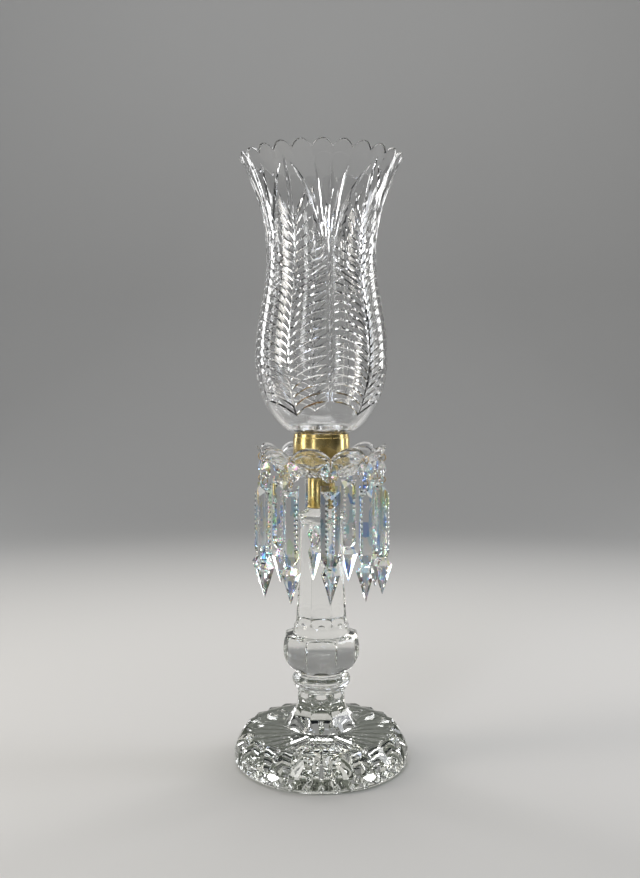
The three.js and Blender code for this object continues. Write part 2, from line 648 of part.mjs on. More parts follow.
// A leaf that swells and comes to a tip, and splays from its root angle to its tip angle.
function leafCut(outer, footHeight, tipHeight, rootAngle, tipAngle) {
  const stops = [];
  for (let step = 0; step <= LEAF_STEPS; step += 1) {
    const share = step / LEAF_STEPS;
    const angle = lerp(rootAngle, tipAngle, share ** LEAF_SPLAY);
    stops.push([angle, lerp(footHeight, tipHeight, share), Math.sin(Math.PI * share)]);
  }
  return shadeCut(outer, stops, LEAF_WIDTH, LEAF_DEPTH);
}

// A barb that rises from the fern's spine towards the line, steeply at first. The higher it starts, the more
// it rises and the sooner it ends.
function barbCut(outer, spineHeight, side) {
  const highness = (spineHeight - FERN_FOOT_HEIGHT) / (FERN_HEAD_HEIGHT - FERN_FOOT_HEIGHT);
  const rise = lerp(BARB_LOW_RISE, BARB_HIGH_RISE, highness ** 2);
  const reach = lerp(BARB_REACH, BARB_CROWDED_REACH, highness ** 4);
  const stops = [];
  for (let step = 0; step <= BARB_STEPS; step += 1) {
    const across = 1 - (reach * step) / BARB_STEPS;
    const height = spineHeight + rise * (1 - across ** BARB_CURL);
    stops.push([(side * across * 180) / FERN_COUNT, height, step < BARB_STEPS ? 1 : 0]);
  }
  return shadeCut(outer, stops, BARB_WIDTH, BARB_DEPTH);
}

// Everything that is cut into the shade's outside.
function shadeCuts(outer) {
  const spine = 180 / FERN_COUNT;
  const cuts = [
    uprightCut(outer, 0, FERN_FOOT_HEIGHT + LINE_FOOT_RISE, FERN_HEAD_HEIGHT - LINE_HEAD_DROP),
    uprightCut(outer, spine, FERN_FOOT_HEIGHT, FERN_HEAD_HEIGHT),
    leafCut(outer, CREST_FOOT_HEIGHT, CREST_TIP_HEIGHT, spine, spine),
    leafCut(outer, LEAF_FOOT_HEIGHT, LEAF_TIP_HEIGHTS[0], 0, 0),
  ];
  for (const side of [-1, 1]) {
    for (let leaf = 1; leaf < LEAF_TIP_HEIGHTS.length; leaf += 1) {
      const angles = [side * LEAF_ROOT_ANGLES[leaf], side * LEAF_TIP_ANGLES[leaf]];
      cuts.push(leafCut(outer, LEAF_FOOT_HEIGHT, LEAF_TIP_HEIGHTS[leaf], ...angles));
    }
    for (let height = FERN_FOOT_HEIGHT; height < FERN_HEAD_HEIGHT; height += BARB_SPACING) {
      cuts.push(barbCut(outer, height, side));
    }
  }
  return ringOf(wasm.Manifold.union(cuts), FERN_COUNT, FIRST_DROP_ANGLE);
}

// The shade is turned with a level rim, which is then drawn down at the notches between the scallops.
function hurricaneShade() {
  const outer = shadeLine();
  const throat = SHADE_NECK_RADIUS - SHADE_NECK_WALL;
  const profile = [
    [SHADE_NECK_RADIUS, SHADE_Z - CUP_TOP_Z],
    ...outer,
    [SHADE_RIM_RADIUS - SHADE_RIM_WALL, SHADE_HEIGHT],
    ...shadeInside(outer),
    [throat, SHADE_THROAT_HEIGHT],
    [throat, SHADE_Z - CUP_TOP_Z],
  ];
  const raised = profile.map(([radius, height]) => [radius, height + CUP_TOP_Z]);
  const geometry = turnedRing(raised, SCALLOP_COUNT * SCALLOP_STEPS).rotateZ(degToRad(FIRST_DROP_ANGLE));
  const rimZ = CUP_TOP_Z + SHADE_HEIGHT;
  const position = geometry.attributes.position;
  for (let number = 0; number < position.count; number += 1) {
    const height = position.getZ(number);
    const nearRim = smoothstep(height, rimZ - SCALLOP_DEPTH, rimZ);
    const notch = offMiddle(position.getX(number), position.getY(number), SCALLOP_COUNT) ** 2;
    position.setZ(number, height - SCALLOP_DEPTH * nearRim * notch);
  }
  return surfaceOf(solidOf(geometry).subtract(shadeCuts(outer)));
}

// A closed wire ring standing in the XZ plane, drawn out to reach from one height to another.
function wireRing(radius, topZ, bottomZ) {
  const ring = new THREE.TorusGeometry(radius, WIRE_RADIUS, WIRE_SIDES, WIRE_STEPS).rotateX(Math.PI / 2);
  const stretch = (topZ - bottomZ) / 2 - radius;
  const position = ring.attributes.position;
  for (let number = 0; number < position.count; number += 1) {
    const height = position.getZ(number);
    const half = Math.abs(height) < WIRE_RADIUS * 2 ? height / (WIRE_RADIUS * 2) : Math.sign(height);
    position.setZ(number, height + half * stretch);
  }
  return ring.translate(0, 0, (topZ + bottomZ) / 2);
}

// A drill along X, as long as it is told, with a flat side uppermost.
function eyeDrill(length, height) {
  const drill = new THREE.CylinderGeometry(EYE_RADIUS, EYE_RADIUS, length, EYE_SIDES);
  return solidOf(drill.rotateY(Math.PI / EYE_SIDES).rotateZ(Math.PI / 2).translate(0, 0, height));
}

// The bead faces along X, with an eye above and below its centre.
function bead() {
  const table = BEAD_THICKNESS / 2;
  const edge = BEAD_EDGE_THICKNESS / 2;
  const blank = turned([
    [0, -table],
    [BEAD_TABLE_RADIUS, -table],
    [BEAD_RADIUS, -edge],
    [BEAD_RADIUS, edge],
    [BEAD_TABLE_RADIUS, table],
    [0, table],
  ], BEAD_SIDES, Math.PI / BEAD_SIDES).rotateY(Math.PI / 2);
  const eyeHeight = BEAD_RADIUS - EYE_INSET;
  const eyes = [eyeHeight, -eyeHeight].map((height) => eyeDrill(BEAD_THICKNESS * 2, height));
  return surfaceOf(solidOf(blank).subtract(wasm.Manifold.union(eyes)));
}

// A six-sided section of a prism: a ridge in front at +X, another behind, and a narrow flat on each side.
function prismSection(z, front, back, halfWidth, flat) {
  return [
    [front, 0, z],
    [flat / 2, halfWidth, z],
    [-flat / 2, halfWidth, z],
    [-back, 0, z],
    [-flat / 2, -halfWidth, z],
    [flat / 2, -halfWidth, z],
  ];
}

// A regular six-sided section, as the spear has, given by the width across its corners.
function spearSection(z, width) {
  return prismSection(z, width / 2, width / 2, (width / 2) * Math.cos(Math.PI / 6), width / 2);
}

// The prism's uncut blank hangs from its top at height 0.
function prismBlank() {
  const body = (z) => prismSection(z, PRISM_FRONT_DEPTH, PRISM_BACK_DEPTH, PRISM_WIDTH / 2, PRISM_SIDE_FLAT);
  const neckZ = SPEAR_HEAD_LENGTH - PRISM_LENGTH;
  return solidOf(lofted([
    spearSection(-PRISM_LENGTH, SPEAR_TIP_WIDTH),
    spearSection(SPEAR_WIDEST_HEIGHT - PRISM_LENGTH, SPEAR_WIDTH),
    spearSection(neckZ + (SPEAR_LENGTH - SPEAR_HEAD_LENGTH) / 2 - SPEAR_NECK_FLAT, SPEAR_NECK_WIDTH),
    spearSection(neckZ + (SPEAR_LENGTH - SPEAR_HEAD_LENGTH) / 2, SPEAR_NECK_WIDTH),
    body(SPEAR_LENGTH - PRISM_LENGTH),
    body(0),
  ]));
}

// What is ground away from the prism: both sides of its tongue, the notches in its back ridge and its eye.
function prismCuts() {
  const chamferZ = -PRISM_TONGUE_HEIGHT - PRISM_CHAMFER_HEIGHT;
  const cuts = [eyeDrill(PRISM_WIDTH, -EYE_INSET)];
  for (const side of [1, -1]) {
    const near = (side * PRISM_TONGUE_THICKNESS) / 2;
    const far = side * PRISM_BACK_DEPTH;
    const outline = [[near, EYE_INSET], [near, -PRISM_TONGUE_HEIGHT], [far, chamferZ], [far, EYE_INSET]];
    const ends = [PRISM_WIDTH, -PRISM_WIDTH].map((y) => outline.map(([x, z]) => [x, y, z]));
    cuts.push(solidOf(lofted(ends)));
  }
  const keel = PRISM_NOTCH_DEPTH - PRISM_BACK_DEPTH;
  const open = -PRISM_NOTCH_DEPTH - PRISM_BACK_DEPTH;
  for (let number = 1; number <= PRISM_NOTCH_COUNT; number += 1) {
    const z = chamferZ - PRISM_NOTCH_PITCH * number;
    const outline = [[keel, z], [open, z + PRISM_NOTCH_SPREAD], [open, z - PRISM_NOTCH_SPREAD]];
    const section = (y) => outline.map(([x, height]) => [x, y, height]);
    cuts.push(solidOf(lofted([section(PRISM_WIDTH / 4), section(-PRISM_WIDTH / 4)])));
  }
  return wasm.Manifold.union(cuts);
}

const candlestick = new THREE.Group();

// Names a piece and puts it in the candlestick, or in the drop that it belongs to.
function add(name, geometry, material, parent = candlestick) {
  const mesh = new THREE.Mesh(geometry, material);
  mesh.name = name;
  parent.add(mesh);
  return mesh;
}

const postWasher = flatRing(PAN_BORE_RADIUS, POST_RADIUS, POST_WASHER_Z, WASHER_THICKNESS, SMALL_ROUND_STEPS);
const washerRadius = CUP_RADIUS - WASHER_MARGIN;
const cupWasher = flatRing(PAN_BORE_RADIUS, washerRadius, CUP_WASHER_Z, WASHER_THICKNESS, ROUND_STEPS);
const seatInner = CUP_SEAT_RADIUS - CUP_LEDGE_WIDTH;
const seatRing = flatRing(seatInner, SHADE_NECK_RADIUS, SEAT_RING_Z, SEAT_RING_THICKNESS, ROUND_STEPS);

add("glass_stand", glassStand(), cutGlass);
add("brass_post", brassPost(), polishedBrass);
add("post_washer", postWasher, leather);
add("drip_pan", dripPan(), cutGlass);
add("cup_washer", cupWasher, leather);
add("shade_cup", shadeCup(), polishedBrass);
add("candle_socket", candleSocket(), polishedBrass);
add("centre_screw", centreScrew(), polishedBrass);
add("shade_seat_ring", seatRing, leather);
add("hurricane_shade", hurricaneShade(), cutGlass);

const beadShape = bead();
const prismShape = surfaceOf(prismBlank().subtract(prismCuts()));
const hookShape = wireRing(HOOK_RADIUS, HOOK_TOP_Z, HOOK_BOTTOM_Z);
const linkShape = wireRing(LINK_RADIUS, LINK_TOP_Z, LINK_BOTTOM_Z);
for (let number = 0; number < DROP_COUNT; number += 1) {
  const spoke = new THREE.Group();
  spoke.rotation.z = degToRad(FIRST_DROP_ANGLE - 90 + (360 * number) / DROP_COUNT);
  const drop = new THREE.Group();
  drop.position.x = DROP_RADIUS;
  spoke.add(drop);
  candlestick.add(spoke);
  const label = String(number + 1).padStart(2, "0");
  const beadTurn = degToRad(BEAD_TURNS[number % BEAD_TURNS.length]);
  const prismTurn = degToRad(PRISM_TURNS[number % PRISM_TURNS.length]);
  add(`hook_${label}`, hookShape, brassWire, drop);
  const hungBead = add(`bead_${label}`, beadShape, cutGlass, drop);
  hungBead.position.z = BEAD_Z;
  hungBead.rotation.z = beadTurn;
  add(`link_${label}`, linkShape, brassWire, drop).rotation.z = beadTurn;
  const hungPrism = add(`prism_${label}`, prismShape, cutGlass, drop);
  hungPrism.position.z = PRISM_TOP_Z;
  hungPrism.rotation.z = beadTurn + prismTurn;
}

export default candlestick;
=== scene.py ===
"""The looks of a cut-glass candlestick with hanging prisms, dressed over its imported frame.

Lengths are in millimetres until a piece is finished, and angles are in degrees round the stem, from the
front (-Y) towards +X. Every piece ends in metres, in the frame's own place.
"""
import logging
import math
from dataclasses import dataclass
from enum import Enum
from typing import Callable, Optional, Sequence

import bmesh
import bpy
from mathutils import Matrix, Vector


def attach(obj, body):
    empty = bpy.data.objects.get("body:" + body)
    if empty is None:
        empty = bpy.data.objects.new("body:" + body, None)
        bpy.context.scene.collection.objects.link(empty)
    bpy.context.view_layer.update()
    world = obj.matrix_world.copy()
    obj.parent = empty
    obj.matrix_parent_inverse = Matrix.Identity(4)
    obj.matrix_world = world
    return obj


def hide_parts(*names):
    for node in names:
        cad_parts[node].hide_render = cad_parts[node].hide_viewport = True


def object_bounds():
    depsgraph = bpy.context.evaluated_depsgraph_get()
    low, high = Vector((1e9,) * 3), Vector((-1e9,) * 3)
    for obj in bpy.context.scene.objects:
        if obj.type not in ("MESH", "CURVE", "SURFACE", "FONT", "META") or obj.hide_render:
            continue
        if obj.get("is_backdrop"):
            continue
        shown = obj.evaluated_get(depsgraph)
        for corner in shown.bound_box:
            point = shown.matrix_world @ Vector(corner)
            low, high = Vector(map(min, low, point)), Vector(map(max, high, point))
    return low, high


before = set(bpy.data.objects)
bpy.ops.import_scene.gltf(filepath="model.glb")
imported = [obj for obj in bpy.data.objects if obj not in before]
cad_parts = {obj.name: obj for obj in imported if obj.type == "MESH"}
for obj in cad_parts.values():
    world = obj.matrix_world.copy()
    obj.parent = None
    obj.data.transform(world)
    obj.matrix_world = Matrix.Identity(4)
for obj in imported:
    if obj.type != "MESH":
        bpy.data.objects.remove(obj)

LOG = logging.getLogger("candlestick")
MM = 0.001
SEAM = 0.0005  # points nearer than this, in millimetres, are one point
DROP_COUNT = 10
FIRST_DROP_ANGLE = 8.0
EASE_LIMIT = 0.4  # a rounded corner takes at most this share of the edges beside it
LEAF_LEAN = 1.25  # above 1, a leaf is fullest above its middle
LEAF_FULLNESS = 0.8  # below 1, a leaf is rounder than a sine
WAVE_BANDS = 20 / math.tau  # how many bands a Wave texture draws in a metre at scale 1
COLOUR_A, COLOUR_B, COLOUR_MIXED = 6, 7, 2  # the colour sockets of a Mix node
VECTOR_IN, FROM_LOW, FROM_HIGH, TO_LOW, TO_HIGH = 6, 7, 8, 9, 10  # the vector sockets of a Map Range node

Pair = tuple[float, float]  # most often a radius and a height
Ring = list[Vector]
Profile = list[Pair]


class Crease(Enum):
    """The least angle between two faces that stays a crisp edge, in degrees."""

    TURNED = 42
    CUT = 24
    FACETED = 5


# Small helpers


def lerp(start: float, end: float, share: float) -> float:
    """The value at a share of the way from start to end."""
    return start + (end - start) * share


def smooth(value: float, low: float, high: float) -> float:
    """A soft step: 0 at low, 1 at high, and an even rise between."""
    share = min(max((value - low) / (high - low), 0.0), 1.0)
    return share * share * (3 - 2 * share)


def along(knots: Sequence[Pair], place: float) -> float:
    """Reads a line drawn through knots.

    Args:
        knots: pairs of place and value, in rising order of place.
        place: where to read the line; past its ends it stays level.

    Returns:
        The value at that place.
    """
    if place <= knots[0][0]:
        return knots[0][1]
    for (before, low), (after, high) in zip(knots, knots[1:]):
        if place <= after:
            return lerp(low, high, (place - before) / (after - before))
    return knots[-1][1]


def spot(radius: float, angle: float, height: float) -> Vector:
    """The point at a radius, an angle from the front and a height."""
    turn = math.radians(angle)
    return Vector((radius * math.sin(turn), -radius * math.cos(turn), height))


def drop_angle(number: int) -> float:
    """The angle of a drop, counted from 0."""
    return FIRST_DROP_ANGLE + 360 * number / DROP_COUNT


def from_lobe(angle: float, pitch: float) -> float:
    """0 in the middle of an angle's lobe and 1 at the notches, of which the first is at the first drop."""
    return abs(2 * (((angle - FIRST_DROP_ANGLE) / pitch) % 1) - 1)


def even_spacing(start: float, end: float, steps: int) -> list[float]:
    """Steps + 1 values from start to end."""
    return [lerp(start, end, step / steps) for step in range(steps + 1)]


def leaf(place: float, low: float, high: float) -> float:
    """How full a leaf-shaped cut is: 0 at its two tips and 1 a little above its middle.

    Args:
        place: where to look along the leaf.
        low: the place of its lower tip.
        high: the place of its upper tip.

    Returns:
        The fullness there.
    """
    if not low < place < high:
        return 0.0
    return math.sin(math.pi * ((place - low) / (high - low)) ** LEAF_LEAN) ** LEAF_FULLNESS


def skin(rings: Sequence[Ring], closed: bool) -> bmesh.types.BMesh:
    """Stretches a flat grid over rings of points round the axis.

    Args:
        rings: rings of equally many points, from one end of the section to the other.
        closed: True if the last ring joins the first one, as on a hollow wall.

    Returns:
        A closed mesh that faces outwards.
    """
    columns = len(rings[0])
    rows = len(rings) if closed else len(rings) - 1
    bm = bmesh.new()
    bmesh.ops.create_grid(bm, x_segments=columns, y_segments=rows, size=1)
    for vert in bm.verts:
        column = round((vert.co.x + 1) / 2 * columns) % columns
        row = round((vert.co.y + 1) / 2 * rows) % len(rings)
        vert.co = rings[row][column]
    tidy(bm)
    return bm


def tidy(bm: bmesh.types.BMesh) -> None:
    """Joins points that meet and turns the faces outwards."""
    bmesh.ops.remove_doubles(bm, verts=bm.verts, dist=SEAM)
    bmesh.ops.recalc_face_normals(bm, faces=bm.faces)


def turned(profile: Profile, steps: int, closed: bool) -> bmesh.types.BMesh:
    """Spins a profile round the axis.

    Args:
        profile: pairs of radius and height.
        steps: how many faces go round.
        closed: True if the profile's end joins its start, as on a tube or ring.

    Returns:
        The turned solid.
    """
    bm = bmesh.new()
    verts = [bm.verts.new((radius, 0, height)) for radius, height in profile]
    pairs = list(zip(verts, verts[1:])) + ([(verts[-1], verts[0])] if closed else [])
    edges = [bm.edges.new(pair) for pair in pairs]
    bmesh.ops.spin(bm, geom=verts + edges, axis=(0, 0, 1), cent=(0, 0, 0), angle=math.tau,
                   steps=steps, use_merge=True)
    tidy(bm)
    return bm


def eased(profile: Profile, radius: float) -> Profile:
    """Rounds every corner of a closed profile a little, as polishing does.

    Args:
        profile: pairs of radius and height of a closed outline.
        radius: how far from a corner the rounding starts.

    Returns:
        The outline with three points in place of each corner.
    """
    rounded: Profile = []
    for number, corner in enumerate(profile):
        here, before = Vector(corner), Vector(profile[number - 1])
        after = Vector(profile[(number + 1) % len(profile)])
        reach = min(radius, (before - here).length * EASE_LIMIT, (after - here).length * EASE_LIMIT)
        start = here + (before - here).normalized() * reach
        end = here + (after - here).normalized() * reach
        middle = (start + end) / 4 + here / 2
        rounded += [tuple(start), tuple(middle), tuple(end)]
    return rounded


def cut_away(bm: bmesh.types.BMesh, cutter: bmesh.types.BMesh) -> bmesh.types.BMesh:
    """Takes one solid out of another.

    Args:
        bm: the solid to cut, which is used up.
        cutter: what is taken out of it, which is used up.

    Returns:
        What is left of the solid.
    """
    meshes = []
    for source in (bm, cutter):
        mesh = bpy.data.meshes.new("blank")
        source.to_mesh(mesh)
        source.free()
        meshes.append(mesh)
    blank, tool = [bpy.data.objects.new("blank", mesh) for mesh in meshes]
    for obj in (blank, tool):
        bpy.context.collection.objects.link(obj)
    drill = blank.modifiers.new("drill", "BOOLEAN")
    drill.operation, drill.solver, drill.object = "DIFFERENCE", "EXACT", tool
    result = bmesh.new()
    result.from_mesh(blank.evaluated_get(bpy.context.evaluated_depsgraph_get()).to_mesh())
    for obj, mesh in zip((blank, tool), meshes):
        bpy.data.objects.remove(obj)
        bpy.data.meshes.remove(mesh)
    return result


# Finishes


def linear(colour: str) -> tuple[float, float, float, float]:
    """Turns an sRGB colour into the linear colour that a shader takes.

    Args:
        colour: the colour as a hex value.

    Returns:
        Its linear red, green and blue, and an opacity of 1.
    """
    parts = [int(colour[start:start + 2], 16) / 255 for start in (1, 3, 5)]
    red, green, blue = [part / 12.92 if part <= 0.04045 else ((part + 0.055) / 1.055) ** 2.4
                        for part in parts]
    return red, green, blue, 1.0


def add_node(tree: bpy.types.NodeTree, kind: str, inputs: Optional[dict[str | int, object]] = None,
             **settings: object) -> bpy.types.Node:
    """Adds a node with its settings, values and links.

    Args:
        tree: the tree that the node goes into.
        kind: the node's type name.
        inputs: a value, or another node's output, for each socket by name or number.
        **settings: attributes of the node itself.

    Returns:
        The new node.
    """
    node = tree.nodes.new(kind)
    for name, value in settings.items():
        setattr(node, name, value)
    for key, value in (inputs or {}).items():
        if isinstance(value, bpy.types.NodeSocket):
            tree.links.new(value, node.inputs[key])
        else:
            node.inputs[key].default_value = value
    return node


def blank_material(name: str) -> tuple[bpy.types.Material, bpy.types.NodeTree, bpy.types.NodeSocket]:
    """Starts a material.

    Args:
        name: the material's name.

    Returns:
        The material, its node tree and the output that gives the place on the piece.
    """
    material = bpy.data.materials.new(name)
    material.use_nodes = True
    tree = material.node_tree
    tree.nodes.clear()
    return material, tree, add_node(tree, "ShaderNodeTexCoord").outputs["Object"]


@dataclass(frozen=True)
class LeadCrystal:
    """Lead crystal, cut or blown and acid polished.

    It bends light strongly and is clear but for a trace of warm green in its thick parts. Hand work leaves a
    faint ripple in its faces, and handling leaves it a touch less glossy in places. In the drops it has fire:
    a thin film that tints its reflections, and painted fire, upright patches of colour that stand in for the
    light its facets split, each keeping back red, or red and green, which leaves teal or blue, or blue alone,
    which leaves amber. Sizes are in millimetres, the film in nanometres.
    """

    name: str
    tint: str = "#EEF3E4"
    tint_per_metre: float = 2.6
    shadow: str = "#D6D9D4"
    bending: float = 1.55
    ripple_size: float = 9.0
    ripple_depth: float = 0.012
    marks_coarser: float = 4.0
    marks_range: Pair = (0.45, 0.75)
    bloom: float = 0.012
    fire: float = 0.0
    fire_range: Pair = (0.3, 0.7)
    fire_spread: Pair = (0.6, 1.4)
    fire_bending: float = 1.88
    # painted fire: size, upright stretch, share and floor of the colour patches that stand in for light split
    # by the facets
    painted_fire_size: float = 4.5
    painted_fire_stretch: float = 0.4
    painted_fire_share: tuple[float, float, float] = (0.19, 0.11, 0.1)
    painted_fire_floor: tuple[float, float, float] = (0.15, 0.3, 0.45)

    def material(self) -> bpy.types.Material:
        """Builds the finish.

        Returns:
            The material.
        """
        material, tree, place = blank_material(self.name)
        waves = add_node(tree, "ShaderNodeTexNoise", {
            "Vector": place, "Scale": 1 / (self.ripple_size * MM), "Detail": 1.0, "Roughness": 0.4})
        ripple = add_node(tree, "ShaderNodeBump", {
            "Height": waves.outputs["Fac"], "Strength": 1.0, "Distance": self.ripple_depth * MM})
        marks = add_node(tree, "ShaderNodeTexNoise", {
            "Vector": place, "Scale": 1 / (self.ripple_size * self.marks_coarser * MM), "Detail": 4.0,
            "Roughness": 0.65})
        gloss = add_node(tree, "ShaderNodeMapRange", {
            "Value": marks.outputs["Fac"], "From Min": self.marks_range[0], "From Max": self.marks_range[1],
            "To Min": 0.0, "To Max": self.bloom})
        glass = add_node(tree, "ShaderNodeBsdfPrincipled", {
            "Base Color": (1, 1, 1, 1), "Roughness": gloss.outputs["Result"], "IOR": self.bending,
            "Transmission Weight": 1.0, "Normal": ripple.outputs["Normal"]})
        if self.fire:
            self.add_fire(tree, glass, place, waves)
        see_through = add_node(tree, "ShaderNodeBsdfTransparent", {"Color": linear(self.shadow)})
        path = add_node(tree, "ShaderNodeLightPath")
        surface = add_node(tree, "ShaderNodeMixShader", {
            0: path.outputs["Is Shadow Ray"], 1: glass.outputs[0], 2: see_through.outputs[0]})
        thickness = add_node(tree, "ShaderNodeVolumeAbsorption", {
            "Color": linear(self.tint), "Density": self.tint_per_metre})
        add_node(tree, "ShaderNodeOutputMaterial", {
            "Surface": surface.outputs[0], "Volume": thickness.outputs[0]})
        return material

    def add_fire(self, tree: bpy.types.NodeTree, glass: bpy.types.Node, place: bpy.types.NodeSocket,
                 waves: bpy.types.Node) -> None:
        """Gives the glass a thin film and upright patches of painted colour that stand in for its fire.

        Args:
            tree: the material's node tree.
            glass: the shader that takes them.
            place: the output that gives the place on the piece.
            waves: the noise that the ripple comes from.
        """
        spread = add_node(tree, "ShaderNodeMapRange", {
            "Value": waves.outputs["Fac"], "From Min": self.fire_range[0], "From Max": self.fire_range[1],
            "To Min": self.fire * self.fire_spread[0], "To Max": self.fire * self.fire_spread[1]})
        tree.links.new(spread.outputs["Result"], glass.inputs["Thin Film Thickness"])
        glass.inputs["Thin Film IOR"].default_value = self.fire_bending
        upright = add_node(tree, "ShaderNodeVectorMath", {
            0: place, 1: (1, 1, self.painted_fire_stretch)}, operation="MULTIPLY")
        # painted fire: Voronoi patches of colour stand in for the light that the facets split
        facets = add_node(tree, "ShaderNodeTexVoronoi", {
            "Vector": upright.outputs[0], "Scale": 1 / (self.painted_fire_size * MM)}, distance="CHEBYCHEV")
        lots = add_node(tree, "ShaderNodeSeparateXYZ", {0: facets.outputs["Color"]})
        kept = add_node(tree, "ShaderNodeCombineXYZ", {
            0: lots.outputs["X"], 1: lots.outputs["X"], 2: lots.outputs["Y"]})
        painted_fire = add_node(tree, "ShaderNodeMapRange", {
            VECTOR_IN: kept.outputs[0], FROM_LOW: (0, 0, 0), FROM_HIGH: self.painted_fire_share,
            TO_LOW: self.painted_fire_floor, TO_HIGH: (1, 1, 1)}, data_type="FLOAT_VECTOR")
        # the painted fire goes into the glass's own colour
        tree.links.new(painted_fire.outputs["Vector"], glass.inputs["Base Color"])


@dataclass(frozen=True)
class PolishedBrass:
    """Yellow brass, turned on a lathe, polished and lacquered.

    Fine turning lines stretch its highlights along the piece, and the lacquer has let a little warm brown
    tarnish in, most of it in soft patches. Sizes are in millimetres. Real turning lines lie less than a tenth
    of a millimetre apart, and these are drawn as coarse as they need to show.
    """

    name: str
    bright: str = "#DCC688"
    tarnished: str = "#A99052"
    patch_size: float = 14.0
    tarnish_range: Pair = (0.4, 0.72)
    dull_range: Pair = (0.35, 0.7)
    line_pitch: float = 3.1416
    line_depth: float = 0.004
    roughness: Pair = (0.18, 0.34)

    def material(self) -> bpy.types.Material:
        """Builds the finish.

        Returns:
            The material.
        """
        material, tree, place = blank_material(self.name)
        patches = add_node(tree, "ShaderNodeTexNoise", {
            "Vector": place, "Scale": 1 / (self.patch_size * MM), "Detail": 5.0, "Roughness": 0.6})
        spread = add_node(tree, "ShaderNodeMapRange", {
            "Value": patches.outputs["Fac"], "From Min": self.tarnish_range[0],
            "From Max": self.tarnish_range[1]})
        colour = add_node(tree, "ShaderNodeMix", {
            "Factor": spread.outputs["Result"], COLOUR_A: linear(self.bright),
            COLOUR_B: linear(self.tarnished)}, data_type="RGBA")
        dull = add_node(tree, "ShaderNodeMapRange", {
            "Value": patches.outputs["Fac"], "From Min": self.dull_range[0], "From Max": self.dull_range[1],
            "To Min": self.roughness[0], "To Max": self.roughness[1]})
        rings = add_node(tree, "ShaderNodeTexWave", {
            "Vector": place, "Scale": 1 / (self.line_pitch * MM * WAVE_BANDS), "Distortion": 0.6,
            "Detail": 2.0, "Detail Scale": 3.0}, wave_type="BANDS", bands_direction="Z")
        lines = add_node(tree, "ShaderNodeBump", {
            "Height": rings.outputs["Fac"], "Strength": 1.0, "Distance": self.line_depth * MM})
        metal = add_node(tree, "ShaderNodeBsdfPrincipled", {
            "Base Color": colour.outputs[COLOUR_MIXED], "Metallic": 1.0, "Roughness": dull.outputs["Result"],
            "Normal": lines.outputs["Normal"]})
        add_node(tree, "ShaderNodeOutputMaterial", {"Surface": metal.outputs[0]})
        return material


@dataclass(frozen=True)
class WasherLeather:
    """Pressed vegetable-tanned leather: matt brown, with a fine pebbled grain that catches no highlight."""

    name: str
    light: str = "#7A5A3C"
    dark: str = "#4A3423"
    grain_size: float = 0.9
    grain_depth: float = 0.12
    stain_coarser: float = 8.0
    roughness: float = 0.85

    def material(self) -> bpy.types.Material:
        """Builds the finish.

        Returns:
            The material.
        """
        material, tree, place = blank_material(self.name)
        cells = add_node(tree, "ShaderNodeTexVoronoi", {"Vector": place, "Scale": 1 / (self.grain_size * MM)})
        stain = add_node(tree, "ShaderNodeTexNoise", {
            "Vector": place, "Scale": 1 / (self.grain_size * self.stain_coarser * MM), "Detail": 4.0})
        colour = add_node(tree, "ShaderNodeMix", {
            "Factor": stain.outputs["Fac"], COLOUR_A: linear(self.light), COLOUR_B: linear(self.dark)},
            data_type="RGBA")
        grain = add_node(tree, "ShaderNodeBump", {
            "Height": cells.outputs["Distance"], "Strength": 1.0, "Distance": self.grain_depth * MM})
        hide = add_node(tree, "ShaderNodeBsdfPrincipled", {
            "Base Color": colour.outputs[COLOUR_MIXED], "Roughness": self.roughness,
            "Normal": grain.outputs["Normal"]})
        add_node(tree, "ShaderNodeOutputMaterial", {"Surface": hide.outputs[0]})
        return material


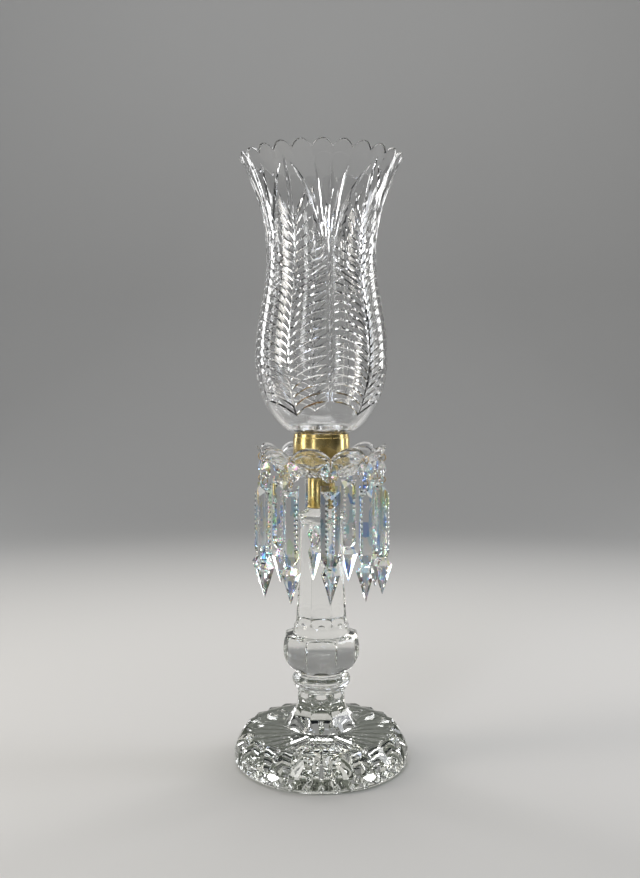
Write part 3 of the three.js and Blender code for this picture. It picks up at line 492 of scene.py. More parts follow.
@dataclass(frozen=True)
class StudioPaper:
    """A seamless sweep of matt paper: pale round the object, painted greyer further off and dark at its
    sides.

    The grey is painted falloff and the dark is painted shade, where a lit sweep would only be dimmer. The
    painted grey sets off the sparkle of clear glass, and the painted dark sides draw its edges, as a
    photographer's cards do. Lengths are in metres: the paper greys over painted_falloff_reach from its
    middle, and the dark comes in over painted_shade_rise from the floor upwards and over painted_shade_sides
    from the front or back towards the sides.
    """

    name: str
    pale: str = "#DCDAD6"
    # painted light and shade: grey is painted falloff further off, dark is painted shade on the sides
    painted_falloff_grey: str = "#A3A3A2"
    dark: str = "#38393C"
    painted_falloff_reach: Pair = (0.35, 1.5)
    painted_shade_rise: Pair = (0.05, 0.6)
    painted_shade_sides: Pair = (1.62, 0.95)
    roughness: Pair = (0.82, 0.9)

    def material(self) -> bpy.types.Material:
        """Builds the finish.

        Returns:
            The material.
        """
        material, tree, place = blank_material(self.name)
        parts = add_node(tree, "ShaderNodeSeparateXYZ", {"Vector": place})
        along_view = add_node(tree, "ShaderNodeMath", {0: parts.outputs["Y"]}, operation="ABSOLUTE")
        # painted shade grows from the floor upwards
        painted_shade_upwards = add_node(tree, "ShaderNodeMapRange", {
            "Value": parts.outputs["Z"], "From Min": self.painted_shade_rise[0], "From Max": self.painted_shade_rise[1]},
            interpolation_type="SMOOTHSTEP")
        beside = add_node(tree, "ShaderNodeMapRange", {
            "Value": along_view.outputs[0], "From Min": self.painted_shade_sides[0], "From Max": self.painted_shade_sides[1]},
            interpolation_type="SMOOTHSTEP")
        share = add_node(tree, "ShaderNodeMath", {
            0: painted_shade_upwards.outputs["Result"], 1: beside.outputs["Result"]}, operation="MULTIPLY")
        ground = add_node(tree, "ShaderNodeVectorMath", {0: place, 1: (1, 1, 0)}, operation="MULTIPLY")
        distance = add_node(tree, "ShaderNodeVectorMath", {0: ground.outputs[0]}, operation="LENGTH")
        # painted falloff: the paper greys away from the object
        off = add_node(tree, "ShaderNodeMapRange", {
            "Value": distance.outputs["Value"], "From Min": self.painted_falloff_reach[0],
            "From Max": self.painted_falloff_reach[1]}, interpolation_type="SMOOTHSTEP")
        paper_with_painted_falloff = add_node(tree, "ShaderNodeMix", {
            "Factor": off.outputs["Result"], COLOUR_A: linear(self.pale), COLOUR_B: linear(self.painted_falloff_grey)},
            data_type="RGBA")
        # painted shade: dark on the standing sides
        colour = add_node(tree, "ShaderNodeMix", {
            "Factor": share.outputs[0], COLOUR_A: paper_with_painted_falloff.outputs[COLOUR_MIXED], COLOUR_B: linear(self.dark)},
            data_type="RGBA")
        mottle = add_node(tree, "ShaderNodeTexNoise", {"Vector": place, "Scale": 3.0, "Detail": 2.0})
        tooth = add_node(tree, "ShaderNodeMapRange", {
            "Value": mottle.outputs["Fac"], "To Min": self.roughness[0], "To Max": self.roughness[1]})
        paper = add_node(tree, "ShaderNodeBsdfPrincipled", {
            "Base Color": colour.outputs[COLOUR_MIXED], "Roughness": tooth.outputs["Result"]})
        add_node(tree, "ShaderNodeOutputMaterial", {"Surface": paper.outputs[0]})
        return material


class Finishes:
    """The finishes of the candlestick, each made once."""

    def __init__(self) -> None:
        """Makes every finish."""
        self.cut_crystal = LeadCrystal("cut_lead_crystal", bending=1.58, shadow="#B9BDB7").material()
        self.shade_crystal = LeadCrystal(
            "blown_lead_crystal", tint="#F2F5EC", ripple_size=16.0, ripple_depth=0.02).material()
        self.drop_crystal = LeadCrystal(
            "prism_lead_crystal", tint="#F4F5F0", bending=1.61, ripple_depth=0.004, bloom=0.006,
            fire=420.0).material()
        self.brass = PolishedBrass("turned_polished_brass").material()
        self.wire = PolishedBrass(
            "drawn_brass_wire", bright="#CDB277", tarnished="#9A7A45", patch_size=3.0,
            line_depth=0.001).material()
        self.leather = WasherLeather("pressed_leather").material()


@dataclass(frozen=True)
class Dressing:
    """What a finished piece takes: its finish, its body, the CAD node it replaces, its slot, not used, and
    crease.
    """

    finish: bpy.types.Material
    body: str
    node: str
    slot: str
    crease: Crease

    def finish_piece(self, name: str, bm: bmesh.types.BMesh) -> bpy.types.Object:
        """Turns a mesh in millimetres into a finished piece in its place.

        Args:
            name: the piece's name.
            bm: its mesh, which is used up.

        Returns:
            The piece's object.
        """
        bmesh.ops.scale(bm, vec=(MM, MM, MM), verts=bm.verts)
        mesh = bpy.data.meshes.new(name)
        bm.to_mesh(mesh)
        bm.free()
        mesh.shade_smooth()
        mesh.set_sharp_from_angle(angle=math.radians(self.crease.value))
        mesh.materials.append(self.finish)
        obj = bpy.data.objects.new(name, mesh)
        bpy.context.collection.objects.link(obj)
        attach(obj, self.body)
        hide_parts(self.node)
        LOG.info("%s: %d faces on %s", name, len(mesh.polygons), self.body)
        return obj


# The shade


@dataclass(frozen=True)
class Row:
    """One line of points across the shade's wall, as its height at a fern's spine and its rise from there.

    A fern's barb is three rows: its keel, which is cut in by depth, and an edge on each side of it.
    """

    height: float
    rise: float
    edge: float = 0.0
    depth: float = 0.0


@dataclass
class HurricaneShade:
    """The blown shade, with five fans and five ferns cut into its outside and a scalloped rim.

    A panel runs from the middle of one fan to the middle of the next, with a fern's spine halfway. Columns of
    points, called stations, cross its half: the first lies on the panel line and the last on the spine.
    Belly, waist and rim are a radius and a height. Leaf roots and reach are the angles of the inner and the
    outer leaf at their two ends. A start, an end, gather and release are the heights between which a cut
    grows or fades and the columns gather or part.
    """

    neck_radius: float = 22.7
    neck_wall: float = 3.6
    neck_foot: float = 275.6
    neck_ease: float = 0.5
    throat_height: float = 291.8
    throat_turn: tuple[Pair, ...] = ((1.2, 0.3), (0.3, -0.9), (0.0, -2.4))
    bowl_gap: float = 0.8
    bowl_foot: float = 287.4
    bowl_fullness: float = 0.6
    belly: Pair = (58.4, 354.8)
    waist: Pair = (48.4, 444.2)
    rim: Pair = (72.8, 529.9)
    wall: float = 4.2
    rim_wall: float = 3.2
    rim_ease: float = 0.7
    ease_share: float = 0.3
    scallops: int = 25
    scallop_depth: float = 6.0
    scallop_band: float = 508.0
    panels: int = 5
    stations: int = 25
    fern_foot: float = 304.0
    fern_head: float = 468.0
    fern_leaf_foot: float = 460.0
    barb_pitch: float = 7.0
    barb_width: float = 2.1
    barb_depth: float = 1.05
    barb_curl: float = 2.2
    barb_rise: tuple[Pair, ...] = ((304, 12), (380, 19), (425, 22), (468, 52))
    barb_thinning: float = 0.25
    barb_gap: float = 1.2
    barb_fade: float = 5.0
    line_width: float = 2.3
    line_depth: float = 1.1
    line_start: Pair = (315.0, 319.0)
    line_end: Pair = (455.0, 475.0)
    spine_start: Pair = (303.0, 307.0)
    spine_end: Pair = (470.0, 490.0)
    leaf_width: float = 4.6
    leaf_depth: float = 1.7
    fan_foot: float = 446.0
    fan_start: Pair = (438.0, 450.0)
    leaf_tips: tuple[float, float, float, float] = (519.5, 513.5, 515.5, 522.0)
    leaf_reach: Pair = (13.5, 33.2)
    leaf_roots: Pair = (2.6, 5.2)
    leaf_curve: float = 1.55
    leaf_column: float = 0.45
    gather: Pair = (404.0, 446.0)
    release: Pair = (511.0, 529.0)
    inner_leaf: int = 7
    outer_leaf: int = 16
    bowl_rows: int = 14
    bowl_crowding: float = 1.6
    flare_rows: int = 20
    flare_fade: float = 1.3
    inside_rows: int = 44
    inside_crowding: float = 1.25
    inside_drop: float = 1.2
    inside_gaps: Pair = (0.4, 1.0)
    slope_step: float = 0.2

    @property
    def half_panel(self) -> float:
        """Degrees from the middle of a fan to the spine of the next fern."""
        return 180 / self.panels

    def radius(self, height: float) -> float:
        """The outside: a bowl, a hip and a flare.

        Args:
            height: a height on the wall.

        Returns:
            The radius there.
        """
        if height <= self.bowl_foot:
            return self.neck_radius
        if height <= self.belly[1]:
            share = (height - self.bowl_foot) / (self.belly[1] - self.bowl_foot)
            return lerp(self.neck_radius, self.belly[0], (1 - (1 - share) ** 2) ** self.bowl_fullness)
        if height <= self.waist[1]:
            share = (height - self.belly[1]) / (self.waist[1] - self.belly[1])
            return lerp(self.belly[0], self.waist[0], (1 - math.cos(math.pi * share)) / 2)
        share = (height - self.waist[1]) / (self.rim[1] - self.waist[1])
        return lerp(self.waist[0], self.rim[0], share ** 2)

    def sunk(self, height: float, depth: float) -> Pair:
        """A point under the outside.

        Args:
            height: the height of the place above it on the outside.
            depth: how far it lies below that place, square to the wall.

        Returns:
            The point's radius and height.
        """
        below = max(height - self.slope_step, self.bowl_foot)
        run = self.radius(height + self.slope_step) - self.radius(below)
        climb = height + self.slope_step - below
        length = math.hypot(run, climb)
        return self.radius(height) - depth * climb / length, height + depth * run / length

    def scalloped(self, point: Pair, angle: float) -> Vector:
        """Slides a point near the rim down the flare towards the notch between two scallops.

        Args:
            point: its radius and height under a level rim.
            angle: its angle.

        Returns:
            The point in its place.
        """
        radius, height = point
        if height <= self.scallop_band:
            return spot(radius, angle, height)
        away = from_lobe(angle, 360 / self.scallops)
        share = (height - self.scallop_band) / (self.rim[1] - self.scallop_band)
        lowered = height - self.scallop_depth * away ** 2 * share
        return spot(radius + self.radius(lowered) - self.radius(height), angle, lowered)

    def rise(self, height: float) -> float:
        """How much higher a barb lies at the panel line than at the spine."""
        return along(self.barb_rise, height)

    def rows(self) -> list[Row]:
        """Lays out the rows of the outside.

        Returns:
            The rows, from the neck to the rim.
        """
        first = self.fern_foot - self.barb_pitch / 2
        rows = []
        for step in range(self.bowl_rows):
            share = (step / self.bowl_rows) ** self.bowl_crowding
            rows.append(Row(lerp(self.bowl_foot, first, share), share * self.rise(first)))
        rows.append(Row(first, self.rise(first)))
        height = self.fern_foot
        while height < self.fern_head:
            rise = self.rise(height)
            half = self.barb_width / 2
            rows += [Row(height, rise, -half), Row(height, rise, 0, self.barb_depth), Row(height, rise, half)]
            middle = height + self.barb_pitch / 2
            rows.append(Row(middle, self.rise(middle)))
            height += self.barb_pitch
        last = rows[-1]
        for step in range(1, self.flare_rows):
            share = step / self.flare_rows
            rise = last.rise * (1 - share) ** self.flare_fade
            rows.append(Row(lerp(last.height, self.rim[1] - self.rim_ease, share), rise))
        rows.append(Row(self.rim[1] - self.rim_ease, 0))
        return rows

    def keel_angle(self, which: int, height: float) -> float:
        """Where a leaf's column runs: along its leaf in the fan, and evenly spaced elsewhere.

        Args:
            which: 0 for the inner leaf and 1 for the outer one.
            height: a height on the wall.

        Returns:
            The angle from the panel line.
        """
        share = min(max((height - self.fan_foot) / (self.leaf_tips[which + 1] - self.fan_foot), 0), 1)
        in_fan = lerp(self.leaf_roots[which], self.leaf_reach[which], share ** self.leaf_curve)
        station = (self.inner_leaf, self.outer_leaf)[which]
        return lerp(station / self.stations * self.half_panel, in_fan, self.gathered(height))

    def gathered(self, height: float) -> float:
        """How far the columns have gathered along the fan's leaves."""
        return smooth(height, *self.gather) * (1 - smooth(height, *self.release))

    def cuts(self, height: float) -> list[tuple[int, float, float, float]]:
        """The upright cuts at a height.

        Args:
            height: a height on the wall.

        Returns:
            The station, angle, width and depth of the panel line, of both leaves and of the spine.
        """
        line = smooth(height, *self.line_start) * (1 - smooth(height, *self.line_end))
        spine = smooth(height, *self.spine_start) * (1 - smooth(height, *self.spine_end))
        roots = (self.fan_foot, self.fan_foot, self.fan_foot, self.fern_leaf_foot)
        places = ((0, 0.0), (self.inner_leaf, self.keel_angle(0, height)),
                  (self.outer_leaf, self.keel_angle(1, height)), (self.stations, self.half_panel))
        found = []
        for (station, angle), root, tip, mark in zip(places, roots, self.leaf_tips, (line, 0, 0, spine)):
            full = leaf(height, root, tip)
            width = max(full * self.leaf_width, mark * self.line_width)
            found.append((station, angle, width, max(full * self.leaf_depth, mark * self.line_depth)))
        return found

    def layout(self, height: float) -> list[Pair]:
        """Places the stations across half a panel.

        Args:
            height: a height on the wall.

        Returns:
            The angle and depth of every station.
        """
        even = self.half_panel / self.stations
        keys: list[Pair] = []
        depths = [0.0] * (self.stations + 1)
        for station, angle, width, depth in self.cuts(height):
            half = math.degrees(width / 2 / self.radius(height))
            loose = even
            if 0 < station < self.stations:
                loose = lerp(even, self.leaf_column, self.gathered(height))
            half = max(half, loose / 2 if width else loose)
            depths[station] = depth
            for side in (-1, 0, 1):
                if 0 <= station + side <= self.stations:
                    keys.append((station + side, angle + side * half))
        return [(along(keys, station), depths[station]) for station in range(self.stations + 1)]

    def barb_fullness(self, station: int, height: float) -> float:
        """How deep a barb is at a station: full by the spine, none past a fan's leaf or the panel line."""
        end = lerp(self.barb_gap, self.outer_leaf + self.barb_gap, smooth(height, *self.fan_start))
        return smooth(station, end, end + self.barb_fade)

    def half_row(self, row: Row) -> list[tuple[float, Pair]]:
        """A row across half a panel, from the middle of a fan to a spine.

        Args:
            row: the row.

        Returns:
            The angle from the fan's middle, and the radius and height, of each point.
        """
        points = []
        for station in range(self.stations + 1):
            share = station / self.stations
            height = row.height + row.rise * (1 - share ** self.barb_curl)
            full = self.barb_fullness(station, height)
            edge = row.edge * lerp(self.barb_thinning, 1, full)
            height = min(height + edge, self.rim[1] - self.rim_ease)
            angle, depth = self.layout(height)[station]
            points.append((angle, self.sunk(height, max(depth, row.depth * full))))
        return points

    def outside(self) -> list[Ring]:
        """Cuts the outside.

        Returns:
            Its rings, from the neck to the rim.
        """
        rings = []
        for row in self.rows():
            half = self.half_row(row)
            ring = []
            for panel in range(self.panels):
                middle = FIRST_DROP_ANGLE + panel * 360 / self.panels
                ring += [self.scalloped(point, middle + angle) for angle, point in half[:-1]]
                far = middle + 360 / self.panels
                ring += [self.scalloped(point, far - angle) for angle, point in reversed(half[1:])]
            rings.append(ring)
        return rings

    def inside_line(self) -> Profile:
        """Draws the plain inside.

        Returns:
            Its line, from the rim down to the throat.
        """
        line = []
        lowest = self.throat_height + self.inside_gaps[0]
        highest = self.rim[1] - self.inside_gaps[1]
        for step in range(self.inside_rows):
            share = (1 - step / self.inside_rows) ** self.inside_crowding
            height = lerp(self.bowl_foot, self.rim[1] - self.inside_drop, share)
            wall = lerp(self.wall, self.rim_wall, smooth(height, self.waist[1], self.rim[1]))
            radius, height = self.sunk(height, wall)
            if radius > self.neck_radius and lowest < height < highest:
                line.append((radius, height))
        return line

    def over_rim(self) -> Profile:
        """Rounds the top of the rim.

        Returns:
            Its line, from the outside to the inside.
        """
        radius, height = self.rim
        inner, ease, part = radius - self.rim_wall, self.rim_ease, self.rim_ease * self.ease_share
        return [(radius - part, height - part), (radius - ease, height), (inner + ease, height),
                (inner + part, height - part), (inner, height - ease)]

    def neck(self) -> Profile:
        """Draws the neck.

        Returns:
            Its line, from the throat inside, round its foot and up its outside.
        """
        throat, foot, ease = self.neck_radius - self.neck_wall, self.neck_foot, self.neck_ease
        line = [(throat + out, self.throat_height + up) for out, up in self.throat_turn]
        return line + [
            (throat, foot + ease), (throat + ease, foot), (self.neck_radius - ease, foot),
            (self.neck_radius, foot + ease), (self.neck_radius, self.bowl_foot - self.bowl_gap)]

    def mesh(self) -> bmesh.types.BMesh:
        """Joins the outside, the rim, the inside and the neck.

        Returns:
            The shade's mesh.
        """
        count = 2 * self.panels * self.stations
        turns = [FIRST_DROP_ANGLE + 360 * column / count for column in range(count)]
        plain = [[self.scalloped(point, turn) for turn in turns]
                 for point in self.over_rim() + self.inside_line() + self.neck()]
        return skin(self.outside() + plain, closed=True)

    def build(self, finishes: Finishes) -> None:
        """Makes the shade.

        Args:
            finishes: the candlestick's finishes.
        """
        dressing = Dressing(finishes.shade_crystal, "shade", "hurricane_shade", "shade_crystal", Crease.CUT)
        dressing.finish_piece("cut_shade", self.mesh())


# The stand


@dataclass
class GlassStand:
    """The foot, stem and top disc, one piece of glass.

    The columns of its mesh are shared by 24 wedges on the foot's flank, 32 rays underneath and 8 panels up
    the stem, so that each of them has a column on its keel or corner. A point of the stem is a radius, a
    height and how far its flats are cut, from 0 for round to 1 for flat, and a round one is only the first
    two. Shares are how far up a curve its rings lie. A top ring is how far the wedges have run out and its
    radius, the crown's edge is a radius and a drop, and a neck bead is how far it stands out and how tall
    it is.
    """

    columns: int = 192
    foot_radius: float = 76.0
    rim_width: float = 7.0
    recess: float = 1.2
    edge_ease: float = 2.8
    edge_height: float = 4.2
    band_top: float = 11.5
    shoulder: Pair = (66.3, 28.8)
    crown: Pair = (32.2, 31.8)
    wedges: int = 24
    wedge_width: float = 15.4
    wedge_foot: float = 4.6
    keel_top: float = 60.9
    rays: int = 32
    ray_outer: float = 66.3
    ray_eye: float = 7.0
    ray_width: float = 5.6
    ray_depth: float = 3.2
    panels: int = 8
    neck_top: float = 62.0
    knop_foot: float = 65.4
    bulb_foot: float = 78.8
    disc_foot: float = 208.8
    disc_top: float = 221.8
    peg: Pair = (10.2, 240.8)
    eye_share: float = 0.8
    ray_closing: float = 5.0
    ray_rings: int = 9
    ray_tips: tuple[float, ...] = (3.4, 2.0, 1.0, 0.3)
    ray_sides: tuple[float, ...] = (0.0, 0.5, 1.0)
    least_ray: float = 0.3
    edge_shares: tuple[float, ...] = (0.35, 0.7)
    edge_twist: float = 0.5
    flank_curve: float = 1.3
    least_wedge: float = 0.25
    flank_heights: tuple[float, ...] = (4.7, 6.4, 8.6, 10.6, 12.4, 14.6, 17.0, 19.6, 22.2, 24.6, 26.6, 28.0)
    top_rings: tuple[Pair, ...] = ((0.3, 60.0), (0.7, 56.0), (1.0, 52.0))
    keel_setback: float = 1.2
    plain_radii: tuple[float, ...] = (47.0, 41.0, 36.0)
    crown_edge: Pair = (33.4, 0.1)
    neck_shares: tuple[float, ...] = (0.02, 0.08, 0.16, 0.26, 0.38, 0.52, 0.68, 0.84, 1.0)
    neck_straight: Pair = (20.2, 53.0)
    neck_onset: float = 0.3
    neck: tuple[tuple[float, float, float], ...] = ((20.2, 57.0, 1), (20.2, 59.6, 1), (20.3, 61.2, 0.5))
    neck_head: float = 20.4
    neck_beads: Pair = (20.7, 20.9)
    neck_bead: Pair = (0.9, 1.7)
    bead_shares: tuple[float, ...] = (0.02, 0.14, 0.28, 0.42, 0.58, 0.72, 0.86, 0.98)
    knop_shares: tuple[float, ...] = (0.0, 0.12, 0.28, 0.45, 0.62, 0.8, 1.0)
    knop_radii: Pair = (21.9, 25.6)
    knop_gap: float = 0.2
    knop_full: float = 71.2
    knop: tuple[Pair, ...] = (
        (25.6, 72.2), (25.2, 73.4), (24.3, 74.4), (23.2, 75.1), (22.5, 75.8), (22.5, 76.6), (22.9, 77.6))
    bulb_start: tuple[float, float, float] = (23.2, 78.4, 0.1)
    bulb_shares: tuple[float, ...] = (0.04, 0.12, 0.22, 0.34, 0.46, 0.6, 0.74, 0.88, 1.0)
    bulb_radii: Pair = (22.6, 32.7)
    bulb_full: float = 98.4
    bulb_onset: float = 0.25
    bulb: tuple[tuple[float, float, float], ...] = (
        (32.9, 101.0, 1), (32.75, 103.6, 1), (32.4, 106.4, 1), (31.9, 109.0, 1), (31.2, 110.2, 0.85),
        (30.2, 110.9, 0.4), (29.0, 111.3, 0.05))
    collar: tuple[Pair, ...] = (
        (26.4, 111.6), (24.9, 111.9), (24.35, 112.7), (24.2, 114.4), (24.2, 117.2), (24.1, 118.6),
        (23.6, 119.5), (22.9, 120.0))
    column_start: tuple[tuple[float, float, float], ...] = (
        (22.6, 120.6, 0.0), (22.5, 122.0, 0.35), (22.2, 124.0, 0.8), (21.8, 126.6, 1))
    column_heights: tuple[float, ...] = (138.0, 152.0, 166.0, 180.0, 194.0, 203.0)
    column_radii: Pair = (21.6, 18.1)
    column_straight: float = 127.0
    column_end: tuple[float, float, float] = (18.1, 206.6, 0.7)
    disc_root: float = 18.2
    disc: tuple[Pair, ...] = (
        (19.4, 210.2), (20.5, 212.0), (21.0, 213.1), (21.35, 213.9), (21.5, 215.0), (21.35, 216.1),
        (21.0, 216.8), (20.4, 217.4), (17.0, 219.3), (13.6, 221.2), (12.9, 221.7))
    disc_flat: float = 12.4
    peg_waist: float = 230.0
    peg_ease: float = 0.6

    def turn(self, column: float) -> float:
        """The angle of a column that isn't drawn aside."""
        return column * 360 / self.columns

    def circle(self, radius: float, height: float, twist: float = 0.0) -> Ring:
        """A plain ring."""
        return [spot(radius, self.turn(column) + twist, height) for column in range(self.columns)]

    def ray_ring(self, radius: float) -> Ring:
        """A ring through the rays of the star underneath.

        Args:
            radius: the ring's radius.

        Returns:
            The ring, level between the rays and deepest on their keels.
        """
        closing = min(1, math.sqrt(max(0, (self.ray_outer - radius) / self.ray_closing)))
        width = max(self.ray_width * radius / self.ray_outer * closing, self.least_ray)
        deep = self.ray_depth * radius / self.ray_outer * closing
        half = math.degrees(width / 2 / radius)
        period = self.columns // self.rays
        ring = []
        for column in range(self.columns):
            ray = round(column / period)
            side = column - ray * period
            if abs(side) == len(self.ray_sides):
                ring.append(spot(radius, self.turn(column), self.recess))
                continue
            reach = self.ray_sides[abs(side)]
            angle = self.turn(ray * period) + math.copysign(half * reach, side)
            ring.append(spot(radius, angle, self.recess + deep * (1 - reach)))
        return ring

    def underside(self) -> list[Ring]:
        """Cuts the star into the recess.

        Returns:
            The rings from its middle out to the ground rim and round the foot's lower edge.
        """
        rings = [self.circle(0, self.recess), self.circle(self.ray_eye * self.eye_share, self.recess)]
        radii = even_spacing(self.ray_eye, self.ray_outer - self.ray_closing, self.ray_rings)
        rings += [self.ray_ring(radius) for radius in radii]
        rings += [self.ray_ring(self.ray_outer - reach) for reach in self.ray_tips]
        inner = self.foot_radius - self.rim_width
        rings += [self.circle(inner - self.recess, self.recess), self.circle(inner, 0),
                  self.circle(self.foot_radius - self.edge_ease, 0)]
        for share in self.edge_shares:
            rings.append(self.circle(self.foot_radius - self.edge_ease * (1 - share) ** 2,
                                     self.edge_height * share, self.edge_twist * share))
        return rings

    def flank_radius(self, height: float) -> float:
        """The uncut flank of the foot.

        Args:
            height: a height on it.

        Returns:
            Its radius there.
        """
        if height <= self.band_top:
            return self.foot_radius
        share = (height - self.band_top) / (self.shoulder[1] - self.band_top)
        return lerp(self.foot_radius, self.shoulder[0], share ** self.flank_curve)

    def wedge_ring(self, height: float) -> Ring:
        """A level ring through the wedge cuts of the flank.

        Args:
            height: its height; at the shoulder it follows the foot's top instead.

        Returns:
            The ring.
        """
        outer = self.flank_radius(height)
        share = (height - self.wedge_foot) / (self.shoulder[1] - self.wedge_foot)
        keel = lerp(self.foot_radius, self.keel_top, share)
        half = max(math.degrees(self.wedge_width * share / 2 / outer), self.least_wedge)
        at_top = height >= self.shoulder[1]
        return self.zigzag(lambda reach: lerp(outer, keel, reach), half,
                           lambda radius: self.top_height(radius) if at_top else height)

    def zigzag(self, radius: Callable[[float], float], half: float, height: Callable[[float], float]) -> Ring:
        """A ring that goes in to the keel of each wedge and out to the land between.

        Args:
            radius: the radius at a reach from 0 on a wedge's edge to 1 on its keel.
            half: half a wedge's width, in degrees.
            height: the height at a radius.

        Returns:
            The ring.
        """
        period = self.columns // self.wedges
        ring = []
        for column in range(self.columns):
            wedge, step = divmod(column, period)
            middle = FIRST_DROP_ANGLE + wedge * 360 / self.wedges
            side = step - period / 2
            if step == 0:
                ring.append(spot(radius(0), middle - 180 / self.wedges, height(radius(0))))
                continue
            reach = 1 - abs(side) / (period / 2 - 1)
            across = radius(reach)
            ring.append(spot(across, middle + half * side / (period / 2 - 1), height(across)))
        return ring

    def top_height(self, radius: float) -> float:
        """The height of the foot's top at a radius."""
        share = (self.shoulder[0] - radius) / (self.shoulder[0] - self.crown[0])
        return lerp(self.shoulder[1], self.crown[1], share)

    def foot(self) -> list[Ring]:
        """Cuts the wedges into the flank.

        Returns:
            The rings of the flank and of the top of the foot, where the wedges run out.
        """
        rings = [self.wedge_ring(height) for height in (*self.flank_heights, self.shoulder[1])]
        half = math.degrees(self.wedge_width / 2 / self.shoulder[0])
        even = 360 / self.columns * (self.columns // self.wedges / 2 - 1)
        for share, radius in self.top_rings:
            edge = lerp(self.shoulder[0], radius, 0.5 + share / 2)
            keel = min(self.keel_top - self.keel_setback, lerp(self.keel_top, radius, share))
            rings.append(self.zigzag(lambda reach: lerp(edge, keel, reach) if share < 1 else radius,
                                     lerp(half, even, share), self.top_height))
        return rings

    def stem_line(self) -> list[tuple[float, float, float]]:
        """Draws the stem.

        Returns:
            Its radius, height and how far its flats are cut, from the foot's top to the top of the peg.
        """
        line = [(radius, self.top_height(radius), 0.0) for radius in self.plain_radii]
        line.append((self.crown_edge[0], self.crown[1] - self.crown_edge[1], 0.0))
        flat_radius, flat_height = self.neck_straight
        for share in self.neck_shares:
            radius = lerp(self.crown[0], flat_radius, 1 - (1 - share) ** 2)
            line.append((radius, lerp(self.crown[1], flat_height, share), smooth(share, 0, self.neck_onset)))
        line += [*self.neck, (self.neck_head, self.neck_top, 0)]
        rise, length = self.neck_bead
        for number, radius in enumerate(self.neck_beads):
            line += self.bead_line(radius, rise, self.neck_top + length * number, length)
        for share in self.knop_shares:
            turn = math.pi / 2 * share
            height = lerp(self.knop_foot + self.knop_gap, self.knop_full, 1 - math.cos(turn))
            line.append((lerp(*self.knop_radii, math.sin(turn)), height, 0))
        line += [*self.without_flats(self.knop), self.bulb_start]
        for share in self.bulb_shares:
            radius = lerp(*self.bulb_radii, math.sin(math.pi / 2 * share))
            height = lerp(self.bulb_foot, self.bulb_full, share)
            line.append((radius, height, smooth(share, 0, self.bulb_onset)))
        line += [*self.bulb, *self.without_flats(self.collar), *self.column_start]
        length = self.disc_foot - self.column_straight
        for height in self.column_heights:
            line.append((lerp(*self.column_radii, (height - self.column_straight) / length), height, 1))
        line += [self.column_end, (self.disc_root, self.disc_foot, 0), *self.without_flats(self.disc)]
        radius, top = self.peg
        return line + self.without_flats((
            (self.disc_flat, self.disc_top), (radius, self.disc_top), (radius, self.peg_waist),
            (radius, top - self.peg_ease), (radius - self.peg_ease, top), (0, top)))

    def without_flats(self, profile: Sequence[Pair]) -> list[tuple[float, float, float]]:
        """The points of a profile that has no flats."""
        return [(radius, height, 0) for radius, height in profile]

    def bead_line(self, radius: float, rise: float, foot: float,
                  height: float) -> list[tuple[float, float, float]]:
        """A small half-round ring on the stem.

        Args:
            radius: the stem's radius there.
            rise: how far the ring stands out.
            foot: the height of its lower edge.
            height: how tall it is.

        Returns:
            Its points, from its foot up.
        """
        return [(radius + rise * math.sin(math.pi * share), foot + height * share, 0.0)
                for share in self.bead_shares]

    def panelled(self, radius: float, height: float, flats: float) -> Ring:
        """A ring of the stem, with one of its flats in front.

        Args:
            radius: the radius at the middle of a flat.
            height: the ring's height.
            flats: how far the flats are cut, from 0 to 1.

        Returns:
            The ring.
        """
        ring = []
        panel = 360 / self.panels
        for column in range(self.columns):
            angle = self.turn(column)
            off = (angle + panel / 2) % panel - panel / 2
            corner = 1 / math.cos(math.radians(off))
            ring.append(spot(radius * lerp(1, corner, flats), angle, height))
        return ring

    def mesh(self) -> bmesh.types.BMesh:
        """The stand's mesh."""
        stem = [self.panelled(*point) for point in self.stem_line()]
        return skin(self.underside() + self.foot() + stem, closed=False)

    def build(self, finishes: Finishes) -> None:
        """Makes the stand.

        Args:
            finishes: the candlestick's finishes.
        """
        dressing = Dressing(finishes.cut_crystal, "stand", "glass_stand", "cut_crystal", Crease.CUT)
        dressing.finish_piece("cut_stand", self.mesh())


# The drip pan


